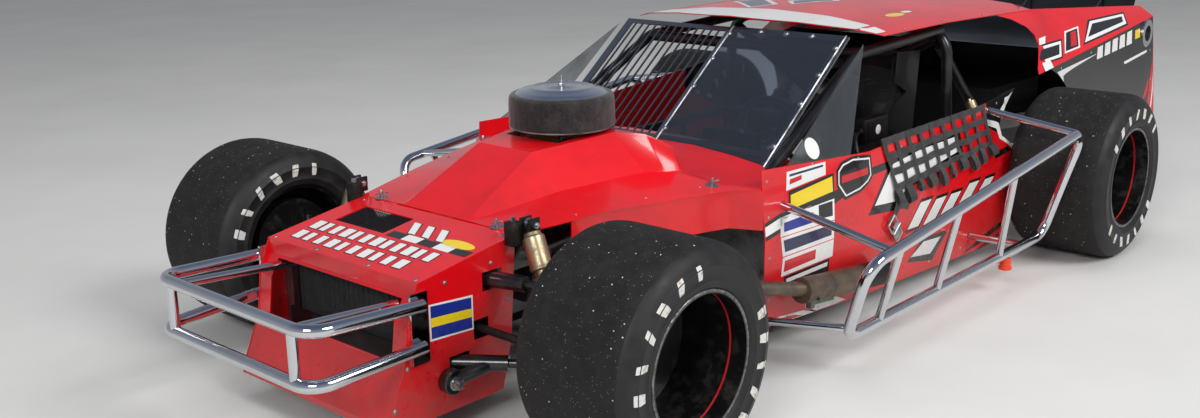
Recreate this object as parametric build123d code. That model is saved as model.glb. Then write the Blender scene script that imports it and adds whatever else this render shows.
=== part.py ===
# Open-wheel modified stock car: tube chassis, sheet panels, wide slicks.
# Millimetres. +X runs to the nose, +Y to the driver's side, +Z up.
# The origin is on the ground, midway between the two bumpers.
import os
from build123d import *

# Main lengths. Stations run forward from the middle of the wheelbase.
WHEELBASE = 2718
NOSE_REACH = 741        # front axle to the front of the bumper
TAIL_REACH = 1320       # rear axle to the back of the bumper
BUMPER_STAND = 79       # tail panel to the back of the bumper
FRONT_AXLE_X = (WHEELBASE + NOSE_REACH + TAIL_REACH) / 2 - NOSE_REACH
MID = FRONT_AXLE_X - WHEELBASE / 2
FRONT_AXLE = WHEELBASE / 2
REAR_AXLE = -WHEELBASE / 2

# Fits
SEAT = 0.3              # air between two pieces that seat on each other
SEAM = 0.5              # gap between two panels that butt
PANEL = 3               # sheet panels with their folded edges

# Wheels
FRONT_TYRE_R = 331
REAR_TYRE_R = 340
TYRE_W = 410
RIM_W = 372
RIM_R = 207             # rim flange
BEAD_R = 204            # barrel's outer face, where the tyre sits
RIM_T = 8
FRONT_RIM_FACE = 1083   # outer rim flange from the centre line
REAR_RIM_FACE = 1196
DISH = 250              # outer flange back to the bolting face
CENTRE_T = 12
HUB_R = 52
HUB_L = 100
SPINDLE_R = 26
DISC_R = 150
DISC_T = 28
DISC_SET = 62           # bolting face back to the disc's outer side
CALIPER_GAP = 6

# Steering
KING_Y = 640            # kingpin from the centre line
UPPER_ARM_Z = 436
LOWER_ARM_Z = 216
JOINT_H = 28            # height of a ball joint's housing
ARM_R = 13
SLEEVE_R = 24           # thick inner half of the forward arms
STEER_ARM = 120         # kingpin to the link's pin
STEER_ARM_Z = 286       # top of the steering arm's eye
LINK_R = 12
LINK_GAP = 0.5
LINK_Z = STEER_ARM_Z + LINK_GAP + LINK_R
UPPER_FORWARD, UPPER_BACK = 80, -190
LOWER_FORWARD, LOWER_BACK = 235, -120

# Rear axle
AXLE_R = 38
LINK_Y = 510

# Frame
RAIL_W = 51
RAIL_H = 102
RAIL_Y = 575            # middle of the side rail
RAIL_Z = 90             # underside of the side rail
RAIL_FRONT = FRONT_AXLE - 739
RAIL_REAR = REAR_AXLE + 399
CLIP_Y = 300            # middle of the front clip rail
CLIP_H = 76
CLIP_Z = 190            # underside of the front clip rail
CLIP_FRONT = FRONT_AXLE + 281
CLIP_BAR, CLIP_BAR_Z = FRONT_AXLE + 41, 452
POST_Y, POST_TOP = 272, 470     # posts that carry the radiator
ARM_ROOT_Y = CLIP_Y + RAIL_W / 2 + SEAT
SHOCK_TOP = (FRONT_AXLE - 44, 408, 588)
SHOCK_FOOT = (FRONT_AXLE - 9, 585, 205)
SHOCK_STUB_R = 12       # stub that carries the upper eye
SPRING_R, DAMPER_R, DAMPER_ROD_R = 30, 24, 9
KICK_Y = 430            # middle of the rear clip rail
KICK_Z = 430
KICK_H = 64
TAIL_DROP = 60          # fall of the rear rails to the tail
KICK_FRONT, KICK_BACK = REAR_AXLE + 239, REAR_AXLE - 261

# Cage
CAGE_R = 22.2
HOOP = REAR_AXLE + 379
HOOP_TOP = 935
HOOP_Y = 540
DASH = FRONT_AXLE - 959
DASH_Z = 520
DASH_Y = 560
HALO_FRONT = FRONT_AXLE - 1689
HALO_Z = 905
HALO_Y = 505
FRONT_BAR_Y = 330
DOOR_BARS = (270, 375, 480)

# Windshield plane, from the cowl up to the roof
WS_BASE, WS_BASE_Z = FRONT_AXLE - 1095, 608
WS_TOP, WS_TOP_Z = FRONT_AXLE - 1589, 994
WS_Y = 525
ROD_W, ROD_PITCH, ROD_COUNT = 6, 36, 13

# Body
NOSE_Y = 361
NOSE_FRONT, NOSE_FRONT_Z = FRONT_AXLE + 349, 494
NOSE_LIP = 45           # height of the lip over the radiator opening
HOOD_FRONT, HOOD_FRONT_Z = FRONT_AXLE - 29, 556
NOSE_VENT = (HOOD_FRONT + 61, HOOD_FRONT + 185, -275, -30)
SCOOP_END = FRONT_AXLE - 759
HOOD_REAR = FRONT_AXLE - 1009
COWL_BACK = FRONT_AXLE - 1209
DOOR_FRONT = FRONT_AXLE - 839
VENT_REAR = FRONT_AXLE - 1308
BELT_LOW = FRONT_AXLE - 1419    # lowest place of the door's top edge
DOOR_REAR = REAR_AXLE + 459
TAIL = REAR_AXLE - TAIL_REACH + BUMPER_STAND
TAIL_RAIL = TAIL + 200
ROOF_FRONT = WS_TOP + 15
ROOF_REAR = REAR_AXLE - 261
DECK_FRONT = REAR_AXLE - 521
DECK_DROP = 12          # deck below the quarters' top edge
AIR_S, AIR_R, AIR_Z, AIR_H = FRONT_AXLE - 613, 184, 742, 116
CARB_HOLE = 150
FIREWALL = FRONT_AXLE - 889
ENGINE_FRONT, CRANK_Z, ENGINE_TOP = FRONT_AXLE - 319, 330, 590
PORT_Y, PORT_Z = 205, 405       # exhaust ports
FILLER_S, FILLER_Z, FILLER_R = TAIL + 82, 785, 38
FLANGE_R = 66
EXHAUST_END, EXHAUST_Z, EXHAUST_BORE = FRONT_AXLE - 1429, 178, 41
NET_FRONT, NET_REAR = FRONT_AXLE - 1489, DOOR_REAR + 20

# Bumpers
BAR_R = 19
STUB_Y = 284
STEM_R = 15             # stems that carry the rear bumper
SIDE_BAR_R = 19
SIDE_LEG_R = 14
# Corners of the side bar: station, width, height
SIDE_LOOP = [
    (FRONT_AXLE - 769, 1120, 420),
    (REAR_AXLE + 359, 1130, 590),
    (REAR_AXLE + 429, 1020, 160),
    (FRONT_AXLE - 859, 1000, 140),
]

# Posts of the side bar: share of the way along the top bar and along the low bar
SIDE_POSTS = [(0.12, 0.135), (0.36, 0.405), (0.62, 0.74)]

# Front face below the lip: station, height
CHIN = [(NOSE_FRONT + 40, 386), (NOSE_FRONT + 58, 260), (NOSE_FRONT + 128, 100), (NOSE_FRONT + 128, 80)]

# Side of the body: station, half width at the skirt, at mid height, at the top
SIDE = [
    (CLIP_BAR, 676, 676, 640),
    (FRONT_AXLE - 659, 676, 676, 640),
    (DOOR_FRONT, 692, 694, 650),
    (FRONT_AXLE - 1359, 745, 750, 700),
    (DOOR_REAR, 782, 784, 750),
    (REAR_AXLE, 788, 790, 760),
    (TAIL - 60, 862, 858, 806),
]
SIDE_LEVELS = (20, 400, 900)

# Top edge of the doors and quarters: station, height
BELT = [(DOOR_FRONT, 640), (BELT_LOW, 612), (DOOR_REAR, 668), (TAIL - 60, 866)]

# Roof line: station, half width, height of the roof's edge
ROOF_LINE = [(WS_TOP + 130, 588, 978), (DOOR_REAR, 600, 985), (ROOF_REAR, 604, 968), (TAIL - 60, 744, 905)]

# Front edge of the sail panel, round the back of the side window: station, height
SAIL_EDGE = [
    (REAR_AXLE + 69, 600),
    (REAR_AXLE - 41, 745),
    (REAR_AXLE - 146, 828),
    (REAR_AXLE - 163, 870),
    (REAR_AXLE - 135, 905),
    (REAR_AXLE - 41, 945),
    (REAR_AXLE + 129, 985),
    (REAR_AXLE + 129, 1100),
]

# Rear end of the door: station, height
DOOR_END = [
    (DOOR_REAR, 575),
    (REAR_AXLE + 299, 505),
    (REAR_AXLE + 169, 430),
    (REAR_AXLE + 109, 345),
    (REAR_AXLE + 124, 265),
    (REAR_AXLE + 179, 180),
    (REAR_AXLE + 269, 60),
]

# Hood sections: station, then width and height of the scoop's top edge, of its foot and of
# the hood's outer edge
HOOD = [
    (HOOD_FRONT, 150, 556, 165, 556, 372, 552),
    (FRONT_AXLE - 339, 125, 713, 250, 604, 462, 575),
    (FRONT_AXLE - 659, 190, 735, 335, 620, 575, 580),
    (FRONT_AXLE - 709, 290, 734, 380, 618, 592, 580),
    (SCOOP_END, 370, 694, 398, 616, 610, 580),
    (SCOOP_END - 30, 372, 612, 402, 606, 640, 580),
    (DOOR_FRONT, 300, 618, 404, 604, 690, 578),
    (HOOD_REAR, 190, 616, 380, 604, 690, 575),
]


def at(station, y, z):
    return Vector(MID + station, y, z)


def mirror_y(shape):
    return mirror(shape, about=Plane.XZ)


def both(shape):
    return shape + mirror_y(shape)


def along(table, station, column=1):
    """Value of one column of a table between its stations."""
    rows = sorted(table)
    if station <= rows[0][0]:
        return rows[0][column]
    for a, b in zip(rows, rows[1:]):
        if station <= b[0]:
            t = (station - a[0]) / (b[0] - a[0])
            return a[column] + t * (b[column] - a[column])
    return rows[-1][column]


def side_y(station, z):
    """Half width of the body side at a station and height."""
    low, mid, top = (along(SIDE, station, c) for c in (1, 2, 3))
    z0, z1, z2 = SIDE_LEVELS
    if z <= z1:
        return low + (mid - low) * (z - z0) / (z1 - z0)
    return mid + (top - mid) * (z - z1) / (z2 - z1)


def tube(points, radius, bend=60):
    """Round bar along straight runs with equal bends."""
    path = Line(*points) if len(points) == 2 else FilletPolyline(*points, radius=bend)
    start = Plane(path @ 0, z_dir=path % 0)
    return sweep(start * Circle(radius), path=path)


def box_bar(a, b, width, height):
    """Rectangular bar between two points, its height kept upright."""
    run = b - a
    side = Vector(0, 0, 1).cross(run).normalized()
    return extrude(Plane(a, x_dir=side, z_dir=run) * Rectangle(width, height), run.length)


def block(s0, s1, y0, y1, z0, z1):
    return Pos(MID + s0, y0, z0) * Box(s1 - s0, y1 - y0, z1 - z0, align=(Align.MIN,) * 3)


def section(station, points):
    return Face(Wire.make_polygon([at(station, y, z) for y, z in points], close=True))


def skin(sections):
    return loft([section(s, pts) for s, pts in sections], ruled=True)


def profile(points, y0, y1):
    """Solid between two widths with a side outline of station and height."""
    face = Face(Wire.make_polygon([at(s, y0, z) for s, z in points], close=True))
    return extrude(face, y1 - y0, dir=(0, 1, 0))


def plan(points, z0, z1):
    """Solid between two heights with a plan outline of station and width."""
    face = Face(Wire.make_polygon([at(s, y, z0) for s, y in points], close=True))
    return extrude(face, z1 - z0, dir=(0, 0, 1))


def side_slab(outer, inner):
    """Left body side as a sheet between two offsets from its outer face."""
    rows = []
    for station, low, mid, top in SIDE:
        ys = (low, mid, top)
        out = [(y - outer, z) for y, z in zip(ys, SIDE_LEVELS)]
        back = [(y - inner, z) for y, z in zip(ys, SIDE_LEVELS)][::-1]
        rows.append((station, out + back))
    return skin(rows)


def inside(off):
    """Space between the two body sides, held off their inner faces."""
    rows = []
    for station, y0, y1, y2 in SIDE:
        ys = [y - PANEL - off for y in (y0, y1, y2)]
        left = list(zip(ys, SIDE_LEVELS))
        rows.append((station, left + [(-y, z) for y, z in left[::-1]]))
    return skin(rows)


def crown(station, drop=0):
    """Roof section, left to right, at a station."""
    edge_y, edge_z = along(ROOF_LINE, station, 1), along(ROOF_LINE, station, 2)
    rise = 50 if station > ROOF_REAR - 1 else 40
    half = [(0, edge_z + rise), (0.5 * edge_y, edge_z + 0.82 * rise), (0.85 * edge_y, edge_z + 0.42 * rise),
            (edge_y + 4, edge_z)]
    half = [(y, z - drop) for y, z in half]
    return [(-y, z) for y, z in half[:0:-1]] + half


def roof_skin(top, bottom):
    start = ROOF_LINE[0][0]
    stations = [start + (ROOF_REAR - start) * k / 4 for k in range(5)]
    return skin([(s, crown(s, -top) + crown(s, -bottom)[::-1]) for s in stations])


def hood_line(row, drop=0, edge=0):
    y1, z1, y2, z2, y3, z3 = row[1:]
    fall = (z3 - z2) / (y3 - y2)
    half = [(y1, z1 - drop), (y2, z2 - drop), (y3 + edge, z3 + fall * edge - drop)]
    return [(-y, z) for y, z in half[::-1]] + half


def hood_skin(top, bottom, edge=0):
    rows = [(r[0], hood_line(r, -top, edge) + hood_line(r, -bottom, edge)[::-1]) for r in HOOD]
    return skin(rows)


def make_crossbar(grow=0):
    """Round bar on two posts over the front clip, which carries the cage's front tubes."""
    z = CLIP_BAR_Z
    post = tube([at(CLIP_BAR, CLIP_Y, CLIP_Z + CLIP_H - 5), at(CLIP_BAR, CLIP_Y, z)], CAGE_R + grow)
    return both(post) + tube([at(CLIP_BAR, -CLIP_Y - 20, z), at(CLIP_BAR, CLIP_Y + 20, z)], CAGE_R + grow)


def kick_rails(grow=0):
    """Rear rails that rise over the axle and run back to the tail."""
    rail_mid = RAIL_Z + RAIL_H / 2
    path = [(RAIL_REAR, rail_mid), (KICK_FRONT, KICK_Z), (KICK_BACK, KICK_Z), (TAIL_RAIL, KICK_Z - TAIL_DROP)]
    side = Part()
    for (s0, z0), (s1, z1) in zip(path, path[1:]):
        ends = at(s0 + 10, KICK_Y, z0), at(s1 - 10, KICK_Y, z1)
        side += box_bar(*ends, RAIL_W + 2 * grow, KICK_H + 2 * grow)
    return side


def shock_bracket(radius):
    """Stub that carries the front damper's upper eye."""
    s, y, z = SHOCK_TOP
    return tube([at(s, CLIP_Y + 5, UPPER_ARM_Z + 8), at(s, y - 4, z - 32)], radius)


def side_rails(grow=0):
    rail_mid = RAIL_Z + RAIL_H / 2
    rail = box_bar(at(RAIL_REAR - 30, RAIL_Y, rail_mid), at(RAIL_FRONT, RAIL_Y, rail_mid),
                   RAIL_W + 2 * grow, RAIL_H + 2 * grow)
    return both(rail)


def make_frame():
    """Rectangular steel rails, the narrow front clip and the rear kick-up."""
    rail_mid = RAIL_Z + RAIL_H / 2
    clip_mid = CLIP_Z + CLIP_H / 2
    side = box_bar(at(RAIL_FRONT - 60, CLIP_Y, clip_mid), at(CLIP_FRONT, CLIP_Y, clip_mid), RAIL_W, CLIP_H)
    side += kick_rails()
    clip_in, clip_out = CLIP_Y - RAIL_W / 2, CLIP_Y + RAIL_W / 2
    side += block(RAIL_FRONT - 60, RAIL_FRONT - 10, clip_in, clip_out, RAIL_Z, clip_mid)
    side += block(CLIP_FRONT, CLIP_FRONT + 30, POST_Y, POST_Y + 30, clip_mid, POST_TOP)
    for ds in (UPPER_FORWARD, UPPER_BACK):
        s = FRONT_AXLE + ds
        side += block(s - 20, s + 20, CLIP_Y - 14, CLIP_Y + RAIL_W / 2, clip_mid, UPPER_ARM_Z + 20)
    side += block(FRONT_AXLE + UPPER_BACK, FRONT_AXLE + UPPER_FORWARD, CLIP_Y - 14, CLIP_Y + RAIL_W / 2,
                  UPPER_ARM_Z - 10, UPPER_ARM_Z + 20)
    side += shock_bracket(SHOCK_STUB_R)
    side -= front_bars(CAGE_R + SEAT)
    frame = both(side) + side_rails()
    # Crossmembers: station, half width, middle height, depth
    for station, half, z, height in [
        (RAIL_FRONT - 30, RAIL_Y + RAIL_W / 2, RAIL_Z + 45, 90),
        (RAIL_REAR + 790, RAIL_Y, rail_mid - 10, RAIL_H - 30),
        (RAIL_REAR, RAIL_Y + RAIL_W / 2, rail_mid, RAIL_H),
        (CLIP_FRONT, CLIP_Y + RAIL_W / 2, clip_mid, CLIP_H),
        (TAIL_RAIL, KICK_Y + RAIL_W / 2, KICK_Z - TAIL_DROP, KICK_H),
    ]:
        frame += block(station - 30, station + 30, -half, half, z - height / 2, z + height / 2)
    return frame + make_crossbar()


def front_legs(radius):
    """Cage tubes from the side rails up the windshield's sides and back along the roof."""
    foot = RAIL_Z + RAIL_H + SEAT
    return both(tube([at(DASH + 35, RAIL_Y, foot), at(DASH, DASH_Y, DASH_Z), at(HALO_FRONT, HALO_Y, HALO_Z),
                      at(HOOP, HALO_Y, HOOP_TOP)], radius, 90))


def front_bars(radius):
    """Cage tubes from the dash forward, one each side of the engine."""
    return both(tube([at(DASH, FRONT_BAR_Y, DASH_Z), at(CLIP_BAR, CLIP_Y, CLIP_BAR_Z)], radius))


def rear_stays(radius):
    """Cage tubes from the main hoop down to the rear rails."""
    return both(tube([at(HOOP, HALO_Y, HOOP_TOP - 60), at(KICK_BACK + 20, KICK_Y, KICK_Z)], radius))


def hoop(radius):
    """Main hoop behind the seat, with its cross tube and diagonal."""
    foot = RAIL_Z + RAIL_H
    bow = tube([at(HOOP, RAIL_Y, foot), at(HOOP, HOOP_Y, HOOP_TOP), at(HOOP, -HOOP_Y, HOOP_TOP),
                at(HOOP, -RAIL_Y, foot)], radius, 110)
    bow += tube([at(HOOP, -RAIL_Y + 10, 480), at(HOOP, RAIL_Y - 10, 480)], radius)
    return bow + tube([at(HOOP, -RAIL_Y + 20, 300), at(HOOP, HOOP_Y - 60, HOOP_TOP - 40)], radius)


def make_main_hoop():
    return hoop(CAGE_R) - side_rails(SEAT)


def dash_tube(radius):
    return tube([at(DASH, -DASH_Y, DASH_Z), at(DASH, DASH_Y, DASH_Z)], radius)


def make_cage():
    """Front legs that run back along the roof, with the halo's front tube and the dash tube."""
    cage = front_legs(CAGE_R) + dash_tube(CAGE_R)
    cage += tube([at(HALO_FRONT, -HALO_Y, HALO_Z), at(HALO_FRONT, HALO_Y, HALO_Z)], CAGE_R)
    return cage - hoop(CAGE_R + SEAT) - side_rails(SEAT)


def make_door_bars():
    """Three tubes a side between the hoop and the front leg, with uprights and panel stays."""
    side = Part()
    y = RAIL_Y - 8
    for z in DOOR_BARS:
        side += tube([at(HOOP, y, z), at(DASH + 20, y, z)], CAGE_R)
    for k in (1, 2, 3):
        s = HOOP + (DASH - HOOP) * k / 4
        side += tube([at(s, y, DOOR_BARS[0]), at(s, y, DOOR_BARS[-1])], 15)
        side += tube([at(s, y, DOOR_BARS[1]), at(s, 900, DOOR_BARS[1])], 10) & inside(SEAT)
    return both(side) - hoop(CAGE_R + SEAT) - front_legs(CAGE_R + SEAT)


def make_cage_stays():
    """Tubes from the dash to the front clip and from the hoop to the rear rails."""
    fore = front_bars(CAGE_R) - dash_tube(CAGE_R + SEAT) - make_crossbar(SEAT)
    return fore + (rear_stays(CAGE_R) - hoop(CAGE_R + SEAT) - both(kick_rails(SEAT)))


def cowl_skin(top, bottom):
    line = hood_line(HOOD[-1])
    upper = [(y, z + top) for y, z in line]
    lower = [(y, z + bottom) for y, z in line[::-1]]
    return skin([(COWL_BACK, upper + lower), (HOOD_REAR - SEAM, upper + lower)])


def make_tub():
    """Floor sheet and the bulkhead between the engine and the driver."""
    top = RAIL_Z + RAIL_H
    width = RAIL_Y - RAIL_W / 2 - SEAT
    floor = block(RAIL_REAR + 30 + SEAT, FIREWALL + PANEL, -width, width, top - 14, top - 11)
    wall = block(FIREWALL, FIREWALL + PANEL, -width, width, top - 14, 660)
    wall += block(FIREWALL, FIREWALL + PANEL, -900, 900, top + SEAT, 660) & inside(SEAT)
    wall -= hood_skin(200, -PANEL - SEAT, 60)
    wall -= front_bars(CAGE_R + SEAT)
    return floor + wall


def make_nose_top():
    """Sloping sheet from the hood down to the lip, with the vent cut in it."""
    width = NOSE_Y - PANEL - SEAT
    lip = NOSE_FRONT_Z - NOSE_LIP
    sheet = profile([(HOOD_FRONT + SEAM, HOOD_FRONT_Z - 4), (NOSE_FRONT, NOSE_FRONT_Z), (NOSE_FRONT + 2, lip),
                     (NOSE_FRONT - 1, lip), (NOSE_FRONT - 4, NOSE_FRONT_Z - 4),
                     (HOOD_FRONT + SEAM, HOOD_FRONT_Z - 8)], -width, width)
    return sheet - block(*NOSE_VENT, NOSE_LIP, HOOD_FRONT_Z)


def make_nose_sides():
    """Flat side sheets of the nose, with a hole for the steering link."""
    outline = [(HOOD_FRONT + SEAM, HOOD_FRONT_Z - 4), (NOSE_FRONT, NOSE_FRONT_Z)]
    outline += [(s + 2, z) for s, z in CHIN] + [(CLIP_BAR, 80), (CLIP_BAR - 40, 230)]
    left = profile(outline, NOSE_Y - PANEL, NOSE_Y)
    link = FRONT_AXLE + STEER_ARM
    left -= block(link - 30, link + 30, 300, 400, LINK_Z - 30, LINK_Z + 30)
    reach = KING_Y - 14
    for z, s, radius in ((UPPER_ARM_Z, UPPER_FORWARD, SLEEVE_R), (LOWER_ARM_Z, LOWER_FORWARD, SLEEVE_R),
                         (UPPER_ARM_Z, UPPER_BACK, ARM_R), (LOWER_ARM_Z, LOWER_BACK, ARM_R)):
        middle = FRONT_AXLE + s * (reach - NOSE_Y) / (reach - ARM_ROOT_Y)
        left -= block(middle - radius - 15, middle + radius + 15, 300, 400, z - radius - 5, z + radius + 5)
    return both(left)


def make_front_valance():
    """Front face round the radiator opening and the chin that slopes forward."""
    width = NOSE_Y - PANEL - SEAT
    top = NOSE_FRONT_Z - NOSE_LIP - SEAT
    face = [(NOSE_FRONT + 2, top)] + CHIN + [(s - 4, z) for s, z in CHIN[::-1]] + [(NOSE_FRONT - 2, top)]
    panel = profile(face, -width, width)
    return panel - block(NOSE_FRONT - 20, NOSE_FRONT + 80, -300, 300, 265, 440)


def make_radiator():
    """Cross-flow core between two tanks, held by legs on the front crossmember."""
    foot = CLIP_Z + CLIP_H
    back, face = CLIP_FRONT - 40, CLIP_FRONT + 10
    core = block(back, face, -270, 270, foot + 12, 470)
    for k in range(20):
        y = -240 + 24.5 * k
        core -= block(face - 6, face + 10, y, y + 14, 292, 455)
    for y in (-250, 220):
        core += block(back + 10, back + 30, y, y + 30, foot + SEAT, foot + 14)
    return core


def make_hood():
    """Sheet hood with a raised scoop round the carburettor."""
    hood = hood_skin(0, -PANEL) & inside(SEAT)
    return hood - block(AIR_S - CARB_HOLE, AIR_S + CARB_HOLE, -125, 125, 690, 800)


def make_fender_sides():
    """Shallow side sheets from the hood's edge down, between the wheel and the door."""
    # Station, width, lower and upper heights
    rows = [(FRONT_AXLE - 209, 420, 450, 600), (FRONT_AXLE - 339, 458, 440, 600),
            (FRONT_AXLE - 659, 571, 452, 600), (SCOOP_END, 606, 452, 600), (DOOR_FRONT + SEAM, 686, 440, 600)]
    sheet = skin([(s, [(y, z0), (y, z1), (y - PANEL, z1), (y - PANEL, z0)]) for s, y, z0, z1 in rows])
    return both(sheet - hood_skin(60, -PANEL - SEAT, 60))


def make_cowl():
    """Sheet between the hood and the windshield."""
    return (cowl_skin(0, -PANEL) & inside(SEAT)) - front_legs(CAGE_R + SEAT)


def make_side_panels():
    """Door-length side sheets with a rounded rear end."""
    outline = [(DOOR_FRONT, 100)] + [(s, z) for s, z in BELT[:3]] + DOOR_END
    left = side_slab(0, PANEL) & profile(outline, 500, 1000)
    return both(left - side_legs(SIDE_LEG_R + 3))


def make_quarters():
    """Rear quarter sheets cut out over the tyre, with the filler's hole on the left."""
    front = DOOR_REAR - SEAM
    outline = [(front, along(BELT, front)), (front, DOOR_END[0][1] + 1)]
    outline += [(s - SEAM, z + SEAM) for s, z in DOOR_END[1:]]
    outline += [(REAR_AXLE + 159, 60), (REAR_AXLE - 141, 100), (TAIL, 240), (TAIL, along(BELT, TAIL))]
    left = side_slab(0, PANEL) & profile(outline, 500, 1000)
    left -= Pos(MID + REAR_AXLE, 900, REAR_TYRE_R + 10) * Rot(90, 0, 0) * Cylinder(REAR_TYRE_R + 65, 400)
    left -= block(REAR_AXLE - 431, REAR_AXLE + 359, 600, 1000, 0, 330)
    hole = Pos(MID + FILLER_S, 850, FILLER_Z) * Rot(90, 0, 0) * Cylinder(FILLER_R + 6 + SEAT, 200)
    return both(left) - hole


def upper_slab(outer, inner):
    rows = []
    for station in (DOOR_REAR, REAR_AXLE, ROOF_REAR, TAIL - 10):
        zb = along(BELT, station) + SEAM
        yb = side_y(station, zb)
        yr, zr = along(ROOF_LINE, station, 1), along(ROOF_LINE, station, 2)
        rows.append((station, [(yb - outer, zb), (yr - outer, zr), (yr - inner, zr), (yb - inner, zb)]))
    return skin(rows)


def make_sail_panels():
    """Sheets that run from the roof's sides down to the tail."""
    left = upper_slab(0, PANEL) & profile(SAIL_EDGE + [(TAIL - 5, 1100), (TAIL - 5, 600)], 500, 1000)
    return both(left - roof_skin(60, -PANEL - SEAT))


def make_roof():
    """Crowned roof with a curved front edge."""
    bow = 150 / along(ROOF_LINE, ROOF_FRONT) ** 2
    front = [(ROOF_FRONT - bow * y ** 2, y) for y in range(-660, 661, 110)]
    return roof_skin(0, -PANEL) & plan(front + [(ROOF_REAR, 660), (ROOF_REAR, -660)], 800, 1200)


def ws_slab(top, bottom, y0, y1, low=0.0, high=1.0):
    """Sheet in the windshield's slope between two offsets and two widths."""
    run, rise = WS_TOP - WS_BASE, WS_TOP_Z - WS_BASE_Z
    size = (run ** 2 + rise ** 2) ** 0.5
    points = []
    for off, t in ((top, low), (top, high), (bottom, high), (bottom, low)):
        points.append((WS_BASE + t * run + off * rise / size, WS_BASE_Z + t * rise - off * run / size))
    return profile(points, y0, y1)


def make_windshield():
    """Polycarbonate sheet over the driver's half."""
    pane = ws_slab(0, -4, 12, WS_Y, -0.12, 0.985)
    return pane - cowl_skin(SEAT, -200)


def make_windshield_frame():
    """Side strips, centre strap, cross straps and the thin rods over the open half."""
    bars = [(-WS_Y - 10, 25 - WS_Y), (WS_Y - 25, WS_Y + 10), (-12, 12)]
    bars += [(y - ROD_W / 2, y + ROD_W / 2) for y in (-48 - ROD_PITCH * k for k in range(ROD_COUNT))]
    frame = Part()
    for y0, y1 in bars:
        frame += ws_slab(-4 - SEAT, -10, y0, y1, -0.12, 0.985)
    for low, high in ((0.02, 0.06), (0.95, 0.985)):
        frame += ws_slab(-4 - SEAT, -10, -WS_Y, WS_Y, low, high)
    return frame - cowl_skin(SEAT, -200) - front_legs(CAGE_R + SEAT)


def make_vents():
    """Clear three-cornered panes between the pillar and the door."""
    corners = []
    for station in (DASH - 10, VENT_REAR):
        z = along(BELT, station) + SEAT
        corners.append(at(station, side_y(station, z), z))
    pane = Face(Wire.make_polygon(corners + [at(WS_TOP, 592, 960)], close=True))
    return both(extrude(pane, PANEL, dir=(0, -1, 0)))


def make_rear_window():
    """Clear sheet from the roof's rear edge down to the deck."""
    z = along(BELT, DECK_FRONT) - DECK_DROP
    low = DECK_FRONT + SEAT
    outline = [(ROOF_REAR + 40, 1010), (low, z - PANEL), (low, z + 4), (ROOF_REAR + 36, 1016)]
    pane = profile(outline, -560, 560)
    return pane - roof_skin(60, -PANEL - SEAT)


def make_deck():
    """Flat lid between the quarters."""
    z0, z1 = along(BELT, DECK_FRONT) - DECK_DROP, along(BELT, TAIL) - DECK_DROP
    end = TAIL + PANEL + SEAT
    lid = profile([(DECK_FRONT, z0), (end, z1), (end, z1 - PANEL), (DECK_FRONT, z0 - PANEL)], -900, 900)
    return lid & inside(SEAT)


def make_tail_panel():
    """Upright sheet that closes the tail, with holes for the bumper's stems."""
    panel = block(TAIL, TAIL + PANEL, -900, 900, 300, along(BELT, TAIL) - DECK_DROP) & inside(SEAT)
    for y in (-KICK_Y, KICK_Y):
        panel -= Pos(MID + TAIL, y, KICK_Z - TAIL_DROP) * Rot(0, 90, 0) * Cylinder(STEM_R + SEAT, 40)
    return panel


def make_spoiler():
    """Clear blade across the tail."""
    z = along(BELT, TAIL) - DECK_DROP
    blade = [(TAIL + 60, z + 4), (TAIL - 20, z + 150), (TAIL - 24, z + 148), (TAIL + 56, z + 2)]
    return profile(blade, -720, 720) - make_deck_air()


def make_deck_air():
    """Space that the deck takes up with its seating clearance."""
    z0, z1 = (along(BELT, s) - DECK_DROP + SEAT for s in (DECK_FRONT, TAIL - 60))
    outline = [(DECK_FRONT, z0), (TAIL - 60, z1), (TAIL - 60, z1 - 30), (DECK_FRONT, z0 - 30)]
    return profile(outline, -900, 900)


def make_spoiler_braces():
    """Black struts that hold the blade from the deck."""
    z = along(BELT, TAIL) - DECK_DROP
    braces = Part()
    for y in (-560, -190, 190, 560):
        braces += tube([at(TAIL + 200, y, z - 20), at(TAIL + 10, y, z + 105)], 6)
    blade = profile([(TAIL + 60, z + 4), (TAIL - 20, z + 150), (TAIL - 200, z + 150), (TAIL - 100, z + 4)],
                    -730, 730)
    return braces - make_deck_air() - Pos(SEAT, 0, SEAT) * blade


def make_filler():
    """Round fuel neck with a wide flange on the left quarter."""
    axis = Pos(MID + FILLER_S, 0, FILLER_Z) * Rot(-90, 0, 0)
    low = (Align.CENTER, Align.CENTER, Align.MIN)
    face_y = side_y(FILLER_S, FILLER_Z) + 7
    flange = axis * Pos(0, 0, face_y - 40) * Cylinder(FLANGE_R, 40, align=low)
    flange -= side_slab(-SEAT, 300)
    neck = axis * Pos(0, 0, face_y - 120) * Cylinder(FILLER_R + 6, 120, align=low)
    bore = axis * Pos(0, 0, face_y - 110) * Cylinder(FILLER_R, 200, align=low)
    return flange + neck - bore


def make_fuel_cell():
    """Boxed fuel cell hung between the rear rails."""
    width = KICK_Y - RAIL_W / 2 - SEAT
    back = TAIL_RAIL + 60
    cell = block(back, back + 540, 40 - width, width - 40, 250, 560)
    for s in (back + 90, back + 440):
        cell += block(s, s + 40, -width, width, 396, 402)
    return cell


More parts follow.
